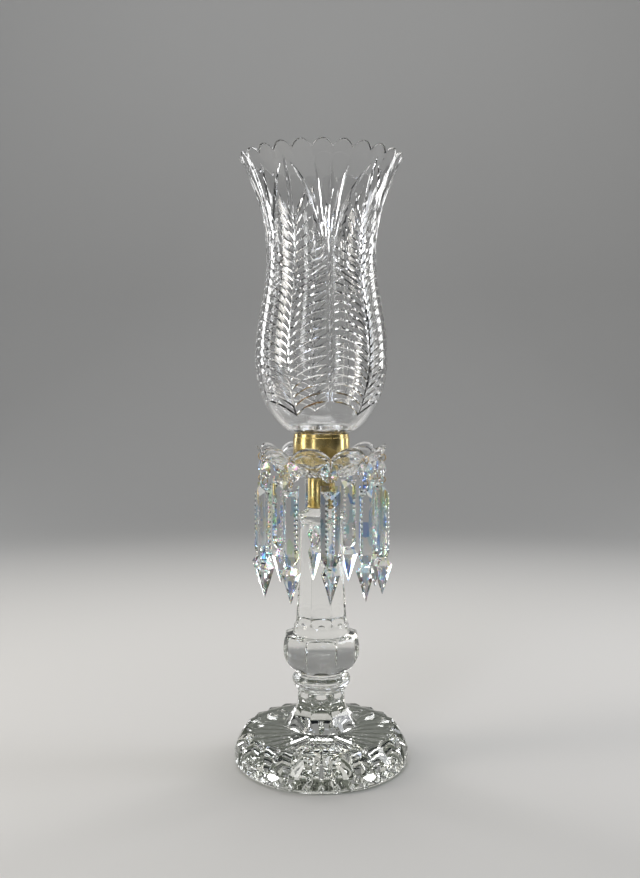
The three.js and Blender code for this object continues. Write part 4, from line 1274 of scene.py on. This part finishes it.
@dataclass
class DripPan:
    """The lobed pan: plain inside, and cut outside with crossed leaves under the notches and a border line.

    Its wall runs from the floor's edge, at share 0, to the rim, at share 1. Leaf lines and the diamonds' band
    are in the wall's own flat measure: across from the nearest notch, and up from the floor's edge. The rim's
    undercut, middle and sink are shares of its thickness.
    """

    foot: float = 249.8
    floor_thickness: float = 4.0
    floor_radius: float = 27.0
    bore: float = 6.2
    bore_ease: float = 0.3
    floor_ring: float = 6.0
    floor_edge: float = 0.5
    inner_ring: float = 8.0
    rim_thickness: float = 2.4
    rim_undercut: float = 0.75
    rim_share: float = 1.012
    rim_middle: float = 0.5
    rim_sink: float = 0.2
    notch_radius: float = 54.4
    notch_rise: float = 14.9
    dishing: float = 0.25
    lobe_reach: float = 3.1
    lobe_rise: float = 9.0
    lobe_fullness: float = 2.3
    columns: int = 760
    outside_rows: int = 92
    inside_rows: int = 16
    border_gap: float = 3.4
    border_width: float = 2.6
    border_depth: float = 1.15
    leaf_width: float = 3.2
    leaf_depth: float = 1.3
    leaf_fullness: float = 0.6
    leaf_lines: tuple[tuple[Pair, Pair], ...] = (
        ((-9.5, 8.0), (4.2, 26.5)), ((-15.0, 13.0), (0.0, 21.0)))
    diamonds: int = 4
    diamond_band: Pair = (1.5, 9.0)
    diamond_width: float = 1.4
    diamond_depth: float = 0.9
    eye_radius: float = 1.5
    eye_place: Pair = (50.9, 268.7)
    eye_sides: int = 20
    drill_length: float = 26.0

    def dished(self, share: float) -> float:
        """How far up the wall's rise a share of its reach lies."""
        return self.dishing * share ** 2 + (1 - self.dishing) * share

    def wall_point(self, share: float, angle: float, depth: float) -> Vector:
        """A point of the wall.

        Args:
            share: how far out it lies, from the floor's edge to the rim.
            angle: its angle.
            depth: how far below the inside it lies.

        Returns:
            The point.
        """
        away = from_lobe(angle, 360 / DROP_COUNT)
        lift = share ** 2 * (1 - away ** self.lobe_fullness)
        radius = lerp(self.floor_radius, self.notch_radius, share) + self.lobe_reach * lift
        inside = self.foot + self.floor_thickness + self.notch_rise * self.dished(share)
        return spot(radius, angle, inside + self.lobe_rise * lift - depth)

    def cut_depth(self, share: float, angle: float) -> float:
        """How deep the outside is cut: a border line, crossed leaves and a ring of diamonds.

        Args:
            share: how far out the point lies, from the floor's edge to the rim.
            angle: its angle.

        Returns:
            The depth of the deepest of them there.
        """
        lobe = 360 / DROP_COUNT
        off = ((angle - FIRST_DROP_ANGLE + lobe / 2) % lobe) - lobe / 2
        radius = lerp(self.floor_radius, self.notch_radius, share)
        length = self.notch_radius - self.floor_radius
        across, up = math.radians(off) * radius, share * length
        from_rim = (1 - share) * (length + self.lobe_rise * (1 - abs(off) * 2 / lobe))
        depth = self.border_depth * max(1 - abs(from_rim - self.border_gap) / (self.border_width / 2), 0)
        for leaf_line in self.leaf_lines:
            for side in (-1, 1):
                depth = max(depth, self.leaf_cut(across * side, up, *leaf_line))
        place = (angle - FIRST_DROP_ANGLE) / (lobe / self.diamonds) % 1
        for slope in (place, 1 - place):
            miss = abs(up - lerp(*self.diamond_band, slope)) / self.diamond_width
            depth = max(depth, self.diamond_depth * max(1 - miss, 0))
        return depth

    def leaf_cut(self, across: float, up: float, start: Pair, end: Pair) -> float:
        """The depth of one leaf, in the wall's own flat measure.

        Args:
            across: how far the point lies from the nearest notch.
            up: how far it lies from the floor's edge.
            start: where the leaf starts, across and up.
            end: where it ends.

        Returns:
            The leaf's depth at the point, and 0 beside it.
        """
        foot, line = Vector(start), Vector(end) - Vector(start)
        share = min(max((Vector((across, up)) - foot).dot(line) / line.length_squared, 0), 1)
        if not 0 < share < 1:
            return 0.0
        distance = (Vector((across, up)) - foot - line * share).length
        full = math.sin(math.pi * share) ** self.leaf_fullness
        return self.leaf_depth * full * max(1 - distance / (self.leaf_width / 2 * full), 0)

    def mesh(self) -> bmesh.types.BMesh:
        """Joins the floor, the cut outside, the rim and the plain inside, and drills the eyes.

        Returns:
            The pan's mesh.
        """
        turns = [FIRST_DROP_ANGLE + 360 * column / self.columns for column in range(self.columns)]
        top = self.foot + self.floor_thickness
        rings = [[spot(radius, turn, height) for turn in turns] for radius, height in (
            (self.bore, top - self.bore_ease), (self.bore, self.foot + self.bore_ease),
            (self.bore + self.bore_ease, self.foot), (self.floor_radius - self.floor_ring, self.foot),
            (self.floor_radius - self.floor_edge, self.foot))]
        for step in range(1, self.outside_rows + 1):
            share = step / self.outside_rows
            thickness = lerp(self.floor_thickness, self.rim_thickness, share)
            thickness *= 1 if share < 1 else self.rim_undercut
            rings.append([self.wall_point(share, turn, thickness - self.cut_depth(share, turn))
                          for turn in turns])
        middle = self.rim_thickness * self.rim_middle
        rings.append([self.wall_point(self.rim_share, turn, middle) for turn in turns])
        for step in range(self.inside_rows):
            sink = 0 if step else self.rim_thickness * self.rim_sink
            rings.append([self.wall_point(1 - step / self.inside_rows, turn, sink) for turn in turns])
        for radius in (self.floor_radius - self.floor_edge, self.floor_radius - self.inner_ring,
                       self.bore + self.bore_ease):
            rings.append([spot(radius, turn, top) for turn in turns])
        return cut_away(skin(rings, closed=True), self.eyes())

    def eyes(self) -> bmesh.types.BMesh:
        """Sets out the drills of the ten eyes.

        Returns:
            The drills, as one mesh.
        """
        bm = bmesh.new()
        radius, height = self.eye_place
        for number in range(DROP_COUNT):
            place = Matrix.Translation(spot(radius, drop_angle(number), height))
            bmesh.ops.create_cone(bm, cap_ends=True, segments=self.eye_sides, radius1=self.eye_radius,
                                  radius2=self.eye_radius, depth=self.drill_length, matrix=place)
        return bm

    def build(self, finishes: Finishes) -> None:
        """Makes the pan.

        Args:
            finishes: the candlestick's finishes.
        """
        dressing = Dressing(finishes.cut_crystal, "stand", "drip_pan", "cut_crystal", Crease.CUT)
        dressing.finish_piece("cut_drip_pan", self.mesh())


# The brass fittings


@dataclass
class BrassFittings:
    """The post under the pan, the cup and the candle socket above it, and the screw through them all.

    A roll is how far it stands out, followed by the heights at which it turns. Each ease is how far from a
    corner its rounding starts.
    """

    steps: int = 96
    post_radius: float = 12.1
    post_foot: float = 222.0
    post_top: float = 248.4
    post_roll: tuple[float, float, float] = (0.7, 0.9, 1.6)
    post_ease: float = 0.4
    sleeve: float = 10.5
    boss: float = 241.3
    screw_bore: float = 3.2
    cup_radius: float = 24.9
    cup_foot: float = 255.2
    cup_top: float = 286.8
    cup_floor: float = 2.0
    cup_ease: float = 0.35
    lip_height: float = 3.2
    lip_setback: float = 0.6
    lip_step: float = 0.3
    seat_radius: float = 23.0
    ledge_radius: float = 20.4
    ledge_top: float = 274.0
    ledge_edge: float = 2.0
    ledge_root: float = 4.6
    socket_bore: float = 11.2
    socket_radius: float = 12.4
    socket_foot: float = 257.4
    socket_top: float = 283.4
    socket_floor: float = 2.4
    socket_roll: tuple[float, float, float, float] = (0.5, 1.2, 0.8, 0.1)
    socket_ease: float = 0.3
    screw_radius: float = 2.9
    screw_foot: float = 243.4
    screw_point: float = 0.7
    head: tuple[float, float, float] = (6.0, 260.0, 262.6)
    head_ease: tuple[Pair, ...] = ((0.0, 0.7), (0.25, 0.2), (0.8, 0.0))
    slot: tuple[float, float, float] = (14.0, 1.2, 2.2)

    def post(self) -> bmesh.types.BMesh:
        """The post.

        Returns:
            A tube with a rolled foot and a bored boss inside.
        """
        out, straight, end = self.post_roll
        rolled = self.post_radius + out
        return turned(eased([
            (self.sleeve, self.post_foot), (rolled, self.post_foot), (rolled, self.post_foot + straight),
            (self.post_radius, self.post_foot + end), (self.post_radius, self.post_top),
            (self.screw_bore, self.post_top), (self.screw_bore, self.boss),
            (self.sleeve, self.boss)], self.post_ease), self.steps, closed=True)

    def cup(self) -> bmesh.types.BMesh:
        """The cup.

        Returns:
            A tube with a floor, a set-back lip and an inner ledge for the shade.
        """
        lip = self.cup_top - self.lip_height
        set_back = self.cup_radius - self.lip_setback
        floor = self.cup_foot + self.cup_floor
        return turned(eased([
            (self.screw_bore, self.cup_foot), (self.cup_radius, self.cup_foot), (self.cup_radius, lip),
            (set_back, lip + self.lip_step), (set_back, self.cup_top), (self.seat_radius, self.cup_top),
            (self.seat_radius, self.ledge_top), (self.ledge_radius, self.ledge_top),
            (self.ledge_radius, self.ledge_top - self.ledge_edge),
            (self.seat_radius, self.ledge_top - self.ledge_root), (self.seat_radius, floor),
            (self.screw_bore, floor)], self.cup_ease), self.steps, closed=True)

    def socket(self) -> bmesh.types.BMesh:
        """The candle socket.

        Returns:
            A tube with a floor and a rolled mouth.
        """
        out, start, lower, upper = self.socket_roll
        rolled = self.socket_radius + out
        floor = self.socket_foot + self.socket_floor
        return turned(eased([
            (self.screw_bore, self.socket_foot), (self.socket_radius, self.socket_foot),
            (self.socket_radius, self.socket_top - start), (rolled, self.socket_top - lower),
            (rolled, self.socket_top - upper), (self.socket_bore, self.socket_top), (self.socket_bore, floor),
            (self.screw_bore, floor)], self.socket_ease), self.steps, closed=True)

    def screw(self) -> bmesh.types.BMesh:
        """The screw.

        Returns:
            A plain shank under a round head, with a slot across the head.
        """
        radius, under, top = self.head
        shank = [(0, self.screw_foot), (self.screw_radius - self.screw_point, self.screw_foot),
                 (self.screw_radius, self.screw_foot + self.screw_point), (self.screw_radius, under),
                 (radius, under)]
        crown = [(radius - inward, top - down) for inward, down in self.head_ease]
        bm = turned(shank + crown + [(0, top)], self.steps // 2, closed=False)
        cutter = bmesh.new()
        place = Matrix.Translation((0, 0, top)) @ Matrix.Diagonal((*self.slot, 1))
        bmesh.ops.create_cube(cutter, size=1, matrix=place)
        return cut_away(bm, cutter)

    def build(self, finishes: Finishes) -> None:
        """Makes the four fittings.

        Args:
            finishes: the candlestick's finishes.
        """
        for name, node, mesh in (
                ("post_tube", "brass_post", self.post()), ("cup_body", "shade_cup", self.cup()),
                ("socket_tube", "candle_socket", self.socket()),
                ("slotted_screw", "centre_screw", self.screw())):
            Dressing(finishes.brass, "stand", node, "polished_brass", Crease.TURNED).finish_piece(name, mesh)


# The drops


@dataclass
class Drops:
    """Ten drops, each a faceted bead and a notched spear prism on two wire rings.

    A hook and a link are a radius, a top and a bottom height, the bead's table and shoulder a radius and a
    depth, and the spear's tip and head a height above its point and a width. Each piece is made facing +X on
    the axis and is then moved and turned into its place.
    """

    drop_radius: float = 54.0
    wire: float = 0.4
    hook: tuple[float, float, float] = (3.1, 269.42, 263.36)
    link: tuple[float, float, float] = (2.7, 249.64, 244.24)
    eye_radius: float = 1.5
    eye_sides: int = 16
    drill_length: float = 30.0
    bead_height: float = 256.5
    bead_radius: float = 8.5
    bead_table: Pair = (1.0, 3.5)
    bead_shoulder: Pair = (7.9, 1.0)
    bead_edge: float = 0.5
    bead_sides: int = 8
    edge_sides: int = 24
    eye_inset: float = 2.3
    prism_top: float = 245.88
    prism_length: float = 99.0
    half_width: float = 8.3
    front_depth: float = 6.4
    back_depth: float = 7.2
    side_flat: float = 0.8
    tongue: float = 1.0
    tongue_height: float = 4.6
    chamfer_height: float = 5.0
    notches: int = 11
    notch_pitch: float = 4.2
    notch_depth: float = 0.9
    notch_share: float = 0.42
    ridge_share: float = 0.16
    spear_length: float = 38.8
    spear_tip: tuple[Pair, ...] = ((0.0, 0.01), (0.35, 0.6))
    head: Pair = (25.8, 17.2)
    neck_drop: float = 6.0
    neck_height: float = 0.8
    neck_width: float = 9.6
    cutter: tuple[float, float, float] = (20.0, 40.0, 20.0)
    wire_sides: int = 10
    ring_steps: int = 36
    bead_turns: tuple[float, ...] = (12, -6, 8, -10, 4, 11, -8, 6, 9, -4)
    prism_turns: tuple[float, ...] = (-11, 10, -6, 9, -11, 6, -12, 8, 10, -9)

    def drilled(self, bm: bmesh.types.BMesh, heights: Sequence[float]) -> bmesh.types.BMesh:
        """Drills eyes through a solid, from front to back.

        Args:
            bm: the solid, which is used up.
            heights: the height of each eye.

        Returns:
            The drilled solid.
        """
        drills = bmesh.new()
        for height in heights:
            place = Matrix.Translation((0, 0, height)) @ Matrix.Rotation(math.radians(90), 4, "Y")
            bmesh.ops.create_cone(drills, cap_ends=True, segments=self.eye_sides, radius1=self.eye_radius,
                                  radius2=self.eye_radius, depth=self.drill_length, matrix=place)
        return cut_away(bm, drills)

    def bead(self) -> bmesh.types.BMesh:
        """Cuts the bead.

        Returns:
            The bead, facing +X: on each side long facets meet near the middle, over a bevelled round edge.
        """
        bm = bmesh.new()
        for side in (-1, 1):
            rings = ((*self.bead_table, self.bead_sides), (*self.bead_shoulder, self.bead_sides),
                     (self.bead_radius, self.bead_edge, self.edge_sides))
            for radius, depth, count in rings:
                for number in range(count):
                    turn = math.tau * (number + 0.5) / count
                    bm.verts.new((side * depth, radius * math.cos(turn), radius * math.sin(turn)))
        bmesh.ops.convex_hull(bm, input=bm.verts)
        bmesh.ops.dissolve_limit(bm, angle_limit=math.radians(1), verts=bm.verts, edges=bm.edges)
        bmesh.ops.recalc_face_normals(bm, faces=bm.faces)
        offset = self.bead_radius - self.eye_inset
        return self.drilled(bm, (offset, -offset))

    def section(self, height: float, front: float, back: float, half: float, flat: float,
                notch: float = 0.0) -> Ring:
        """A section of the prism.

        Args:
            height: its height.
            front: how far the front ridge stands out, at +X.
            back: how far the back ridge stands out.
            half: half its width.
            flat: half the depth of its flat sides.
            notch: how deep the back ridge is notched.

        Returns:
            Its eight corners, of which two lie close beside the back ridge.
        """
        near = self.ridge_share
        beside = (lerp(-back, -flat, near), half * near)
        corners = ((front, 0), (flat, half), (-flat, half), beside, (notch - back, 0),
                   (beside[0], -beside[1]), (-flat, -half), (flat, -half))
        return [Vector((depth, across, height)) for depth, across in corners]

    def spear_section(self, height: float, width: float) -> Ring:
        """A section of the spear or its neck, a regular hexagon of a width from ridge to ridge."""
        return self.section(height, width / 2, width / 2, width / 2 * math.cos(math.pi / 6), width / 4)

    def body_section(self, height: float, notch: float = 0.0) -> Ring:
        """A section of the long body, which may be notched."""
        return self.section(height, self.front_depth, self.back_depth, self.half_width, self.side_flat, notch)

    def prism(self) -> bmesh.types.BMesh:
        """Cuts the prism.

        Returns:
            The prism, hung from its top at height 0.
        """
        foot = self.spear_length - self.prism_length
        tip, neck = -self.prism_length, foot - self.neck_drop
        rings = [self.spear_section(tip + height, width) for height, width in (*self.spear_tip, self.head)]
        rings += [self.spear_section(neck - self.neck_height, self.neck_width),
                  self.spear_section(neck, self.neck_width), self.body_section(foot)]
        first = -self.tongue_height - self.chamfer_height
        spread = self.notch_pitch * self.notch_share
        for number in range(self.notches, 0, -1):
            middle = first - self.notch_pitch * number
            rings += [self.body_section(middle - spread), self.body_section(middle, self.notch_depth),
                      self.body_section(middle + spread)]
        rings += [self.body_section(first), self.body_section(0), [Vector((0, 0, 0))] * len(rings[0])]
        blank = self.tongued(skin(rings, closed=False))
        return self.drilled(blank, (-self.eye_inset,))

    def tongued(self, blank: bmesh.types.BMesh) -> bmesh.types.BMesh:
        """Cuts the top of a prism down to a flat tongue, with a slope below it in front and behind.

        Args:
            blank: the prism before, which is used up.

        Returns:
            The prism with its tongue.
        """
        length, width, height = self.cutter
        lean = math.atan2(self.back_depth - self.tongue, self.chamfer_height)
        for side in (-1, 1):
            for turn in (0.0, lean):
                cutter = bmesh.new()
                place = (Matrix.Translation((side * self.tongue, 0, -self.tongue_height))
                         @ Matrix.Rotation(side * turn, 4, "Y")
                         @ Matrix.Translation((side * length / 2, 0, height / 2))
                         @ Matrix.Diagonal((length, width, height, 1)))
                bmesh.ops.create_cube(cutter, size=1, matrix=place)
                blank = cut_away(blank, cutter)
        return blank

    def ring(self, radius: float, top: float, bottom: float) -> bmesh.types.BMesh:
        """Bends a wire ring that stands in the XZ plane.

        Args:
            radius: the radius of its bends.
            top: the height of the wire's middle at its top.
            bottom: the same at its bottom.

        Returns:
            The ring.
        """
        bm = bmesh.new()
        place = Matrix.Translation((radius, 0, 0))
        bmesh.ops.create_circle(bm, segments=self.wire_sides, radius=self.wire, matrix=place)
        bmesh.ops.spin(bm, geom=bm.verts[:] + bm.edges[:], axis=(0, 1, 0), cent=(0, 0, 0), angle=math.tau,
                       steps=self.ring_steps, use_merge=True)
        tidy(bm)
        stretch = (top - bottom) / 2 - radius
        for vert in bm.verts:
            vert.co.z += min(max(vert.co.z / (self.wire * 2), -1), 1) * stretch
        bmesh.ops.translate(bm, vec=(0, 0, (top + bottom) / 2), verts=bm.verts)
        return bm

    def shapes(self) -> dict[str, bpy.types.Mesh]:
        """Makes each of the four pieces of a drop once.

        Returns:
            Their meshes by name.
        """
        shapes = {}
        for name, bm in (("bead", self.bead()), ("prism", self.prism()), ("hook", self.ring(*self.hook)),
                         ("link", self.ring(*self.link))):
            shapes[name] = bpy.data.meshes.new(name)
            bm.to_mesh(shapes[name])
            bm.free()
        return shapes

    def build(self, finishes: Finishes) -> None:
        """Makes the ten drops.

        Args:
            finishes: the candlestick's finishes.
        """
        shapes = self.shapes()
        wire = (finishes.wire, "brass_wire", Crease.TURNED)
        glass = (finishes.drop_crystal, "drop_crystal", Crease.FACETED)
        for number in range(DROP_COUNT):
            label = f"{number + 1:02d}"
            turn = math.radians(drop_angle(number) - 90)
            spoke = Matrix.Rotation(turn, 4, "Z") @ Matrix.Translation((self.drop_radius, 0, 0))
            bead_turn = Matrix.Rotation(math.radians(self.bead_turns[number]), 4, "Z")
            prism_turn = Matrix.Rotation(math.radians(self.prism_turns[number]), 4, "Z")
            bead_place = spoke @ bead_turn @ Matrix.Translation((0, 0, self.bead_height))
            prism_place = spoke @ bead_turn @ prism_turn @ Matrix.Translation((0, 0, self.prism_top))
            for name, place, half, (finish, slot, crease) in (
                    ("hook", spoke, "upper", wire), ("bead", bead_place, "upper", glass),
                    ("link", spoke @ bead_turn, "lower", wire), ("prism", prism_place, "lower", glass)):
                bm = bmesh.new()
                bm.from_mesh(shapes[name])
                bmesh.ops.transform(bm, matrix=place, verts=bm.verts)
                dressing = Dressing(finish, f"{half}_drop_{label}", f"{name}_{label}", slot, crease)
                dressing.finish_piece(f"drop_{name}_{label}", bm)


@dataclass
class Washers:
    """The three leather rings, which stay as the frame has them and take their finish."""

    nodes: tuple[str, ...] = ("post_washer", "cup_washer", "shade_seat_ring")

    def build(self, finishes: Finishes) -> None:
        """Dresses the rings.

        Args:
            finishes: the candlestick's finishes.
        """
        for node in self.nodes:
            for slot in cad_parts[node].material_slots:
                slot.material = finishes.leather
            LOG.info("%s: dressed", node)


# The studio


@dataclass(frozen=True)
class Softbox:
    """A soft lamp: where it stands and looks, its width and height, all in metres, and its power."""

    name: str
    place: tuple[float, float, float]
    target: tuple[float, float, float]
    size: Pair
    power: float
    colour: str = "#FFFFFF"

    def build(self) -> None:
        """Hangs the lamp."""
        lamp = bpy.data.lights.new(self.name, "AREA")
        lamp.shape, lamp.energy = "RECTANGLE", self.power
        lamp.size, lamp.size_y = self.size
        lamp.color = linear(self.colour)[:3]
        obj = bpy.data.objects.new(self.name, lamp)
        obj.location = self.place
        obj.rotation_euler = (Vector(self.target) - Vector(self.place)).to_track_quat("-Z", "Y").to_euler()
        obj.visible_camera = False
        bpy.context.collection.objects.link(obj)


@dataclass
class Studio:
    """A pale paper sweep, soft lamps under a dark ceiling and the photograph's camera.

    The sweep is in millimetres and the camera's place in metres. Offsets, the image's height and the focal
    length are in pixels of the photograph.
    """

    sweep_radius: float = 1900.0
    sweep_bend: float = 600.0
    sweep_height: float = 1500.0
    sweep_flat: float = 0.5
    sweep_steps: int = 96
    bend_steps: int = 14
    camera_distance: float = 0.8307
    camera_height: float = 0.3279
    focal_pixels: float = 940.0
    image_height: float = 878.0
    axis_offset: float = -1.3
    horizon_offset: float = -52.0
    sensor_width: float = 36.0
    bounces: int = 24
    glossy_bounces: int = 10
    ceiling: str = "#1A1C20"
    lamps: tuple[Softbox, ...] = (
        Softbox("left_strip", (-1.2, -0.25, 0.78), (0, 0, 0.35), (0.32, 1.2), 7.0, "#FFFAF2"),
        Softbox("right_strip", (1.2, 0.1, 0.78), (0, 0, 0.35), (0.26, 1.2), 5.0, "#F6F8FF"),
        Softbox("back_left_strip", (-1.15, 0.95, 0.8), (0, 0, 0.3), (0.24, 1.2), 5.0),
        Softbox("back_right_strip", (1.15, 0.95, 0.8), (0, 0, 0.3), (0.24, 1.2), 5.0),
        Softbox("front_strip", (-0.65, -1.05, 0.6), (0, 0, 0.3), (0.14, 0.9), 1.6),
        Softbox("window", (-0.5, -1.25, 1.5), (0, 0, 0.25), (0.32, 0.32), 3.5, "#E4ECFF"),
        Softbox("top", (0.0, 0.3, 2.3), (0, 0.1, 0.0), (1.2, 1.2), 14.0),
        Softbox("backdrop", (0.0, 0.7, 1.9), (0, 1.9, 0.6), (1.0, 0.6), 8.5),
    )

    def floor(self) -> None:
        """Sweeps the paper up all round."""
        turn_centre = self.sweep_radius - self.sweep_bend
        line: Profile = [(0.0, 0.0), (turn_centre * self.sweep_flat, 0.0)]
        for share in even_spacing(0, 1, self.bend_steps):
            angle = math.pi / 2 * share
            height = self.sweep_bend * (1 - math.cos(angle))
            line.append((turn_centre + self.sweep_bend * math.sin(angle), height))
        line.append((self.sweep_radius, self.sweep_height))
        bm = bmesh.new()
        verts = [bm.verts.new((radius, 0, height)) for radius, height in line]
        edges = [bm.edges.new(pair) for pair in zip(verts, verts[1:])]
        bmesh.ops.spin(bm, geom=verts + edges, axis=(0, 0, 1), cent=(0, 0, 0), angle=math.tau,
                       steps=self.sweep_steps, use_merge=True)
        bmesh.ops.remove_doubles(bm, verts=bm.verts, dist=SEAM)
        bmesh.ops.scale(bm, vec=(MM, MM, MM), verts=bm.verts)
        mesh = bpy.data.meshes.new("paper_sweep")
        bm.to_mesh(mesh)
        bm.free()
        mesh.shade_smooth()
        # the paper's colour holds painted falloff and painted shade
        mesh.materials.append(StudioPaper("studio_paper_with_painted_shade").material())
        sweep = bpy.data.objects.new("paper_sweep", mesh)
        bpy.context.collection.objects.link(sweep)
        sweep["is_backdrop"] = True

    def world(self) -> None:
        """Sets the dim ceiling above the sweep."""
        world = bpy.data.worlds.new("studio_ceiling")
        world.use_nodes = True
        world.node_tree.nodes["Background"].inputs["Color"].default_value = linear(self.ceiling)
        bpy.context.scene.world = world

    def camera(self) -> None:
        """Sets the camera where the photograph was taken from."""
        data = bpy.data.cameras.new("camera")
        data.sensor_width = self.sensor_width
        data.lens = self.focal_pixels / self.image_height * data.sensor_width
        data.shift_x = self.axis_offset / self.image_height
        data.shift_y = self.horizon_offset / self.image_height
        data.clip_start = 0.01
        obj = bpy.data.objects.new("camera", data)
        obj.location = (0, -self.camera_distance, self.camera_height)
        obj.rotation_euler = (math.radians(90), 0, 0)
        bpy.context.collection.objects.link(obj)
        bpy.context.scene.camera = obj

    def build(self) -> None:
        """Sets up the studio."""
        self.floor()
        self.world()
        self.camera()
        for lamp in self.lamps:
            lamp.build()
        scene = bpy.context.scene
        scene.view_settings.view_transform = "Standard"
        scene.cycles.max_bounces = self.bounces
        scene.cycles.transmission_bounces = self.bounces
        scene.cycles.glossy_bounces = self.glossy_bounces
        scene.cycles.transparent_max_bounces = self.bounces
        scene.cycles.caustics_reflective = False
        scene.cycles.caustics_refractive = False
        LOG.info("studio: floor, lamps and camera")


def plain(box: Sequence[Sequence[float]]) -> list[list[float]]:
    """A box's two corners as plain lists."""
    return [[float(value) for value in corner] for corner in box]


def main() -> None:
    """Builds the candlestick and its studio."""
    logging.basicConfig(level=logging.INFO, format="%(name)s: %(message)s")
    frame_box = plain(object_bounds())
    finishes = Finishes()
    for assembly in (HurricaneShade(), GlassStand(), DripPan(), BrassFittings(), Drops(), Washers()):
        assembly.build(finishes)
    Studio().build()
    {"frame": frame_box, "dressed": plain(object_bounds())}


if __name__ == "__main__":
    main()
